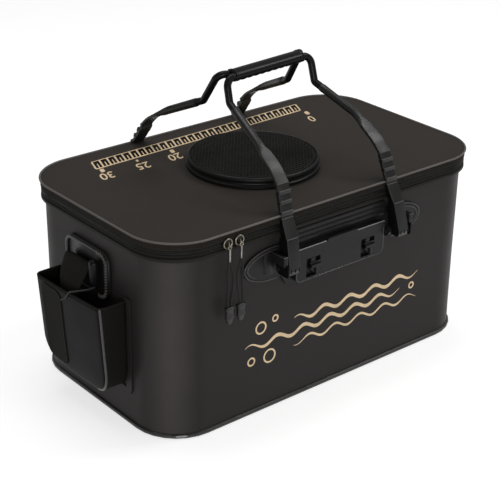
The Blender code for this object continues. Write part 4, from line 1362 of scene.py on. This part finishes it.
# Sockets of the rail, as (x, z) outlines about the socket's middle
SOCKET_BLOCKS = (
    (((-0.0046, 0.0058), (0.0106, 0.0058), (0.0106, -0.0116), (0.0046, -0.0116), (-0.0046, -0.0027)),
     0.0, 0.0028),
    (((-0.0036, 0.0116), (0.0028, 0.0116), (0.0028, 0.0066), (-0.0036, 0.0066)), 0.0, 0.0028),
    (((-0.0046, 0.0030), (0.0106, 0.0030), (0.0106, -0.0008), (-0.0046, -0.0008)), 0.0026, 0.0054),
    (((0.0016, -0.0008), (0.0050, -0.0008), (0.0050, -0.0104), (0.0030, -0.0104)), 0.0026, 0.0046),
)
BEAD = 0.0007
RAIL_HIGHLIGHT_RADIUS = 0.0011


def make_sockets():
    """In each socket a flush block with a square hole, a ledge across it and a hook below."""
    low, high = corners("rail_face")
    face = low.y
    for which, hand in LEFT_AND_RIGHT:
        name = which + "_socket"
        x = hand * SOCKET_X
        clip_low, clip_high = corners(name + "_clip")
        z = (clip_low.z + clip_high.z) / 2
        parts = [[[(x + u, face - front + deep, z + v) for u, v in outline] for deep in (0.0, thick)]
                 for outline, front, thick in SOCKET_BLOCKS]
        piece(name + "_skin", lofts(parts, 0.0003), "rim", MOULDED, (name + "_clip",), 30)
    middle, half = (low + high) / 2, (high - low) / 2
    loop = rounded_loop(half.x - BEAD, half.z - BEAD, RAIL_CORNER - BEAD, 8, (middle.x, middle.z))
    path = [(u, face + BEAD * 0.4, v) for u, v in loop]
    piece("rail_bead", tube(path, BEAD, 10, closed=True), "rim", WELT)
    # Painted highlight: a pale thin bar along the rail's top edge stands for the light that edge catches.
    places = (low.x + 0.001, low.x / 3, high.x / 3, high.x - 0.001)
    route = [(u, face - 0.0003, high.z - 0.0001) for u in places]
    piece("rail_painted_highlight", tube(route, RAIL_HIGHLIGHT_RADIUS, 10), "rim", RAIL_HIGHLIGHT)


# Pocket on the left end
POCKET_LOW, POCKET_HIGH = corners("pump_pocket")
POCKET_LESS = 0.008
POCKET_EDGE = 0.008
POCKET_FOOT = 0.030
POCKET_FOOT_IN = 0.026
FLANGE_REAR_TOP = 0.150
POCKET_TILT = (-0.0055, 0.0015)
POCKET_SHELL = 0.0018
PATCH_FOOT = 0.007
WELT_INSET = 0.0027
POCKET_BOW = 0.0012
POCKET_SIDE_STEPS = 6
POCKET_ARC_STEPS = 6
POCKET_FACE_STEPS = 18
POCKET_EDGE_POINT = 9


def pocket_inset(z):
    """How far the rounded foot draws the sides in at a height."""
    rise = min(1.0, (z - POCKET_LOW.z) / POCKET_FOOT)
    return POCKET_FOOT_IN * (1 - math.sqrt(max(0.0, 1 - (1 - rise) ** 2)))


def pocket_face(z):
    """Where the pocket's outer face lies at a height."""
    share = (POCKET_HIGH.z - z) / (POCKET_HIGH.z - POCKET_LOW.z)
    return POCKET_LOW.x + POCKET_LESS * share + 0.12 * pocket_inset(z)


def pocket_row(z, inset, face_x):
    """One level of the pocket: from the wall out, round the face and back to the wall."""
    y0, y1 = POCKET_LOW.y + inset, POCKET_HIGH.y - inset
    edge = POCKET_EDGE
    inner = face_x + edge
    run = (POCKET_HIGH.x - inner) / POCKET_SIDE_STEPS
    arc = quarter(0, POCKET_ARC_STEPS)[:-1]
    points = [(POCKET_HIGH.x - run * step, y0) for step in range(POCKET_SIDE_STEPS)]
    points += [(inner - edge * s, y0 + edge - edge * c) for c, s in arc]
    for step in range(POCKET_FACE_STEPS):
        share = step / POCKET_FACE_STEPS
        bow = POCKET_BOW * math.sin(math.pi * share)
        points.append((face_x - bow, y0 + edge + (y1 - y0 - 2 * edge) * share))
    points += [(inner - edge * c, y1 - edge + edge * s) for c, s in arc]
    points += [(inner + run * step, y1) for step in range(POCKET_SIDE_STEPS + 1)]
    return [(x, y, z) for x, y in points]


def tilted(point, share=1.0):
    """The pocket's mouth hangs a little lower at its rear side."""
    x, y, z = point
    side = (y - POCKET_LOW.y) / (POCKET_HIGH.y - POCKET_LOW.y)
    return (x, y, z + share * (POCKET_TILT[1] + (POCKET_TILT[0] - POCKET_TILT[1]) * side))


def make_pocket():
    foot, top = POCKET_LOW.z, POCKET_HIGH.z
    rows = []
    for c, _ in quarter(0, 12):
        z = foot + POCKET_FOOT * (1 - c)
        rows.append(pocket_row(z, pocket_inset(z), pocket_face(z)))
    count = 18
    for step in range(1, count + 1):
        share = step / count
        z = foot + POCKET_FOOT + (top - foot - POCKET_FOOT) * share
        rows.append([tilted(point, share) for point in pocket_row(z, 0.0, pocket_face(z))])
    width = len(rows[0])
    piping = [Vector(row[POCKET_EDGE_POINT]) + Vector((-0.0002, -0.0002, 0.0)) for row in rows]
    wall_piece("pocket_piping", tube(piping, 0.0016, 10), WELT)
    work = bmesh.new()
    made = skin(work, rows, rings=False, zone=lambda i, j: int(j < 8 or j >= width - 9))
    work.faces.new(made[0]).material_index = 1
    made = piece("pocket_shell", solid(work), "base", (PANEL, GUSSET), ("pump_pocket",))
    thicken(made, POCKET_SHELL)
    crush(made)
    hem = [Vector(tilted(point)) + Vector((0, 0, -0.0004))
           for point in pocket_row(top, 0.0009, pocket_face(top) + 0.0009)]
    wall_piece("pocket_hem", tube(hem, 0.0014, 10), WEBBING)
    far_edge = POCKET_SIDE_STEPS + POCKET_ARC_STEPS + POCKET_FACE_STEPS + 3
    line = [(Vector(row[far_edge]), Vector((-1, 1, 0)).normalized()) for row in rows[6:-1]]
    crush(stitches("pocket_edge_stitches", line, "base"))


def make_pocket_trim():
    flange = piece("flange_skin", copied("pocket_flange"), "base", FOAM, ("pocket_flange",))
    ease(flange, 0.0006, 3)
    for vert in flange.data.vertices:
        if vert.co.y > 0:
            vert.co.z = min(vert.co.z, FLANGE_REAR_TOP)
    crush(flange)
    low, high = corners("pocket_patch")
    low.z = POCKET_LOW.z + PATCH_FOOT
    _, half_y, half_z = (high - low) / 2
    _, mid_y, mid_z = (high + low) / 2
    loop = rounded_loop(half_y, half_z, 0.010)

    def row(scale_y, scale_z, rise):
        points = [(mid_y + y * scale_y, mid_z + z * scale_z) for y, z in loop]
        return [Vector((patch_x(y, z) - rise, y, z)) for y, z in points]

    rows = [row(1 - inset / half_y, 1 - inset / half_z, rise)
            for rise, inset in ((0.0001, 0.0), (0.0009, 0.0), (0.0013, 0.0006), (0.0013, 0.003))]
    wall_piece("patch_skin", loft(rows, caps=True), WEBBING, ("pocket_patch",))
    line = [(point, Vector((-1, 0, 0))) for point in row(0.90, 0.955, 0.0013)]
    crush(stitches("patch_stitches", line + line[:1], "base"))


def patch_x(y, z):
    """The pocket's outer face, with its slight bow."""
    share = (y - POCKET_LOW.y - POCKET_EDGE) / (POCKET_HIGH.y - POCKET_LOW.y - 2 * POCKET_EDGE)
    return pocket_face(z) - POCKET_BOW * math.sin(math.pi * min(max(share, 0.0), 1.0))


def make_boot():
    """The moulded patch over the pocket, its rounded welt and the ribs on the welt's near side."""
    low, high = corners("side_boot")
    _, half_y, half_z = (high - low) / 2
    centre = ((high + low) / 2).yz
    rows = []
    for inset, x in ((0.0, high.x), (0.0, low.x + 0.0012), (0.0012, low.x), (0.0055, low.x),
                     (0.009, low.x + 0.0010), (0.016, low.x + 0.0006), (0.022, low.x + 0.0004)):
        loop = rounded_loop(half_y - inset, half_z - inset, max(0.003, 0.014 - inset), 8, centre)
        rows.append([(x, y, z) for y, z in loop])
    wall_piece("boot_skin", loft(rows, caps=True), RUBBER, ("side_boot",))
    welt_low, welt_high = corners("boot_welt")
    middle = (welt_low.x + welt_high.x) / 2

    def welt_loop(grow):
        return rounded_loop(half_y - WELT_INSET + grow, half_z - WELT_INSET + grow, 0.0113 + grow, 10, centre)

    rows = [[(middle - 0.0013 * s, y, z) for y, z in welt_loop(0.0026 * c)] for c, s in turns(10)]
    wall_piece("welt_skin", loft(rows, torus=True), RUBBER, ("boot_welt",))
    line = [(Vector((welt_low.x, y, z)), Vector((-1, 0, 0))) for y, z in welt_loop(0.0)]
    ribs = [place for place in along(line + line[:1], 0.0036) if place[0].y < centre[0] - 0.55 * half_y]
    wall_piece("welt_ribs", capsules(ribs, 0.0050, 0.0009, 1.0, 4.0), EDGE)


def make_boot_bar():
    low, high = corners("boot_bar")
    radius = (high.y - low.y) / 2
    top = [(max(0.00005, radius * s), high.z - radius * (1 - c)) for c, s in quarter(0, 8)]
    foot = [(r, low.z + high.z - z) for r, z in top[::-1]]
    mesh = lathe(top + foot, (low + high) / 2, 28, caps=True)
    wall_piece("bar_skin", mesh, GLOSS, ("boot_bar",))


# Webbing from the boot into the pocket
WEBBING_THICK = 0.0016
WEBBING_REACH = 0.0235
WEBBING_CURL = 0.0012
WEBBING_MIDDLES = (0.0140, 0.0140, 0.0140, 0.0140, 0.0138, 0.0130, 0.0110, 0.0100)
WEBBING_HALVES = (0.0250, 0.0252, 0.0252, 0.0252, 0.0245, 0.0225, 0.0200, 0.0185)


def ribbon(path, normals, halves, thick, across=12):
    """A flat strap along a path, its width along world Y, with rounded selvedges."""
    rows = []
    for point, normal, half in zip(path, normals, halves):
        upper = []
        for step in range(across + 1):
            share = -1 + 2 * step / across
            upper.append((share, thick / 2 * math.sqrt(max(0.0, 1 - abs(share) ** 10))))
        loop = upper + [(share, -b) for share, b in upper[::-1][1:-1]]
        rows.append([point + Vector((0, share * half, 0)) + normal * (b - WEBBING_CURL * share**2)
                     for share, b in loop])
    return loft(rows, caps=True)


def make_webbing():
    low, high = corners("pocket_webbing")
    x = high.x - WEBBING_THICK / 2
    top = high.z
    mouth = POCKET_HIGH.z
    route = [(x, top - 0.0150), (x - 0.0020, top - 0.0085), (x - 0.0065, top - 0.0068),
             (x - 0.0100, top - 0.0100), (x - 0.0150, top - 0.0200), (x - 0.0195, mouth + 0.0080),
             (x - WEBBING_REACH, mouth - 0.0040), (x - WEBBING_REACH, low.z)]
    path = smooth([(a, middle, z) for (a, z), middle in zip(route, WEBBING_MIDDLES)], 8)
    halves = [point.x for point in smooth([(half, 0.0, z) for (_, z), half in zip(route, WEBBING_HALVES)], 8)]
    normals = [Vector((0, 1, 0)).cross(tangent).normalized() for tangent, _, _ in frames(path)]
    mesh = ribbon(path, normals, halves, WEBBING_THICK)
    wall_piece("webbing_skin", mesh, WEBBING, ("pocket_webbing",))


def make_pocket_cord():
    high = corners("pocket_cord")[1]
    radius = 0.0011
    bar_low, bar_high = corners("boot_bar")
    bar = (bar_low + bar_high) / 2
    face = POCKET_LOW.x
    top = POCKET_HIGH.z
    rest = top + radius + 0.0003
    over = face - radius - 0.0003
    route = [(bar.x, bar.y, bar_low.z - radius - 0.0006), (bar.x - 0.010, bar.y - 0.001, rest + 0.0003),
             (face + 0.004, bar.y + 0.003, rest + 0.001), (over, bar.y + 0.007, rest),
             (over - 0.001, bar.y + 0.012, top - 0.005), (over, bar.y + 0.018, top - 0.011),
             (over, high.y - radius, top - 0.016)]
    mesh = tube(smooth(route), radius, 10)
    wall_piece("cord_skin", mesh, PALE_CORD, ("pocket_cord",))


# Motif in the ink of the ruler. Waves, as height, left and right end and half width of the stroke
WAVES = ((0.106, -0.060, 0.150, 0.0024), (0.090, -0.136, 0.118, 0.0024), (0.074, -0.060, 0.150, 0.0016))
WAVE_SWING = 0.0042
WAVE_LENGTH = 0.042

# Bubbles, as x, z and radius
BUBBLES = ((-0.112, 0.112, 0.0085), (-0.090, 0.118, 0.0050), (-0.126, 0.071, 0.0060),
           (-0.098, 0.070, 0.0095), (0.140, 0.090, 0.0050))
BUBBLE_RIM = 0.0022


def wave_edges(x0, x1, z, half):
    """The upper and the lower edge of a wavy stroke with pointed ends."""
    count = max(12, int((x1 - x0) / 0.003))
    upper, lower = [], []
    for step in range(count + 1):
        share = step / count
        x = x0 + (x1 - x0) * share
        middle = z + WAVE_SWING * math.sin(2 * math.pi * x / WAVE_LENGTH + z * 90)
        wide = half * min(1.0, 6 * share + 0.12, 6 * (1 - share) + 0.12)
        upper.append((x, middle + wide))
        lower.append((x, middle - wide))
    return upper, lower


def circle(x, z, radius):
    made = [(x + radius * c, z + radius * s) for c, s in turns(32)]
    return made + made[:1]


def on_front(x, z, lift):
    return (x, -(HALF_Y + wall_wave(x, -HALF_Y, z)) - lift, z)


def strokes(name, edges):
    """Strokes of ink on the front, as strips of quads between two edges each."""
    parts = [
        [[on_front(*point, lift) for point, lift in ((a, -PRINT), (a, PRINT), (b, PRINT), (b, -PRINT))]
         for a, b in zip(upper, lower)]
        for upper, lower in edges
    ]
    wall_piece(name, lofts(parts), GOLD)


def make_motif():
    """Three rows of plain waves with a few bubbles."""
    strokes("front_waves", [wave_edges(x0, x1, z, half) for z, x0, x1, half in WAVES])
    strokes("front_bubbles", [(circle(x, z, r), circle(x, z, r - BUBBLE_RIM)) for x, z, r in BUBBLES])


# Nodes kept as they are, with their finish and the width of their eased edges
KEPT_NODES = {
    "base_panel": (FOAM, 0.0004, 2), "base_bead": (WELT, 0.0, 2), "rim_frame": (MOULDED, 0.0004, 2),
    "zip_lower": (WEBBING, 0.0002, 2), "zip_upper": (WEBBING, 0.0002, 2),
    "rim_hinge_tape": (WEBBING, 0.0002, 2), "lid_hinge_tape": (WEBBING, 0.0002, 2),
    "rail_back": (MOULDED, 0.0005, 3), "rail_face": (MOULDED, 0.0005, 3),
    "rail_ledge": (MOULDED, 0.0005, 3), "ridge_strip": (MOULDED, 0.0005, 3),
}


def make_kept_nodes():
    for name, (material, width, segments) in KEPT_NODES.items():
        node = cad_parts[name]
        node.data.materials.clear()
        node.data.materials.append(material)
        if width:
            ease(node, width, segments)


# Floor and world
FLOOR_DROP = 0.0002
FLOOR_COLOUR = (0.55, 0.55, 0.55, 1.0)
FLOOR_GLOW = 0.66
WORLD_COLOUR = (0.9, 0.9, 0.9, 1.0)
WORLD_STRENGTH = 0.32

# Lights, as name, place, target, size and power
LIGHTS = (
    ("key", (-1.35, -1.95, 0.6), (0, 0, 0.12), (0.7, 0.6), 15),
    ("front", (0.6, -2.2, 1.6), (0, 0, 0.1), (1.2, 1.2), 6),
    ("glint", (1.35, -0.55, 2.0), (0, 0, 0.25), (0.6, 0.8), 15),
    ("top", (0.0, 0.5, 2.3), (0, 0, 0.2), (1.4, 0.9), 17),
)


def make_camera():
    azimuth = math.radians(CAMERA_AZIMUTH)
    elevation = math.radians(CAMERA_ELEVATION)
    roll = math.radians(CAMERA_ROLL)
    back = Vector((math.sin(azimuth) * math.cos(elevation), -math.cos(azimuth) * math.cos(elevation),
                   math.sin(elevation)))
    right = Vector((math.cos(azimuth), math.sin(azimuth), 0.0))
    up = back.cross(right)
    rolled_right = right * math.cos(roll) + up * math.sin(roll)
    rolled_up = up * math.cos(roll) - right * math.sin(roll)
    data = bpy.data.cameras.new("camera")
    data.lens = CAMERA_LENS
    data.sensor_width = CAMERA_SENSOR
    data.sensor_fit = "HORIZONTAL"
    camera = bpy.data.objects.new("camera", data)
    turn = Matrix((rolled_right, rolled_up, back)).transposed().to_4x4()
    camera.matrix_world = Matrix.Translation(Vector(CAMERA_TARGET) + back * CAMERA_DISTANCE) @ turn
    bpy.context.scene.collection.objects.link(camera)
    bpy.context.scene.camera = camera


def area_light(name, place, target, size, power):
    data = bpy.data.lights.new(name, "AREA")
    data.shape = "RECTANGLE"
    data.size, data.size_y = size
    data.energy = power
    made = bpy.data.objects.new(name, data)
    made.location = place
    made.rotation_euler = (Vector(target) - Vector(place)).to_track_quat("-Z", "Y").to_euler()
    bpy.context.scene.collection.objects.link(made)


def make_stage():
    mesh = bpy.data.meshes.new("floor")
    mesh.from_pydata([(-8, -8, 0), (8, -8, 0), (8, 8, 0), (-8, 8, 0)], [], [(0, 1, 2, 3)])
    floor = bpy.data.objects.new("floor", mesh)
    floor.location.z = -FLOOR_DROP
    bpy.context.scene.collection.objects.link(floor)
    material = bpy.data.materials.new("floor")
    material.use_nodes = True
    tree = material.node_tree
    shader = tree.nodes["Principled BSDF"]
    shader.inputs["Base Color"].default_value = FLOOR_COLOUR
    shader.inputs["Roughness"].default_value = 0.9
    shader.inputs["Specular IOR Level"].default_value = 0.1
    light_path = tree.nodes.new("ShaderNodeLightPath")
    rays = light_path.outputs
    seen = math_node(tree, "MAXIMUM", rays["Is Camera Ray"], rays["Is Glossy Ray"])
    seen = math_node(tree, "MAXIMUM", seen, rays["Is Transmission Ray"])
    shader.inputs["Emission Color"].default_value = (1.0, 1.0, 1.0, 1.0)
    wire(tree, math_node(tree, "MULTIPLY", seen, FLOOR_GLOW), shader.inputs["Emission Strength"])
    mesh.materials.append(material)
    world = bpy.data.worlds.new("world")
    world.use_nodes = True
    background = world.node_tree.nodes["Background"]
    background.inputs["Color"].default_value = WORLD_COLOUR
    background.inputs["Strength"].default_value = WORLD_STRENGTH
    bpy.context.scene.world = world
    for light in LIGHTS:
        area_light(*light)


make_camera()
make_stage()
make_wall()
make_rim()
make_lid_edge()
make_zip()
make_lid()
make_ruler()
make_numbers()
make_vent()
make_pocket()
make_pocket_trim()
make_boot()
make_boot_bar()
make_webbing()
make_pocket_cord()
make_motif()
make_handles()
for which, _ in LEFT_AND_RIGHT:
    make_slider(which)
for which, _ in LEFT_AND_RIGHT:
    make_pull(which)
make_lobes()
make_sockets()
make_plates()
make_kept_nodes()

bpy.context.scene.view_settings.view_transform = "Standard"
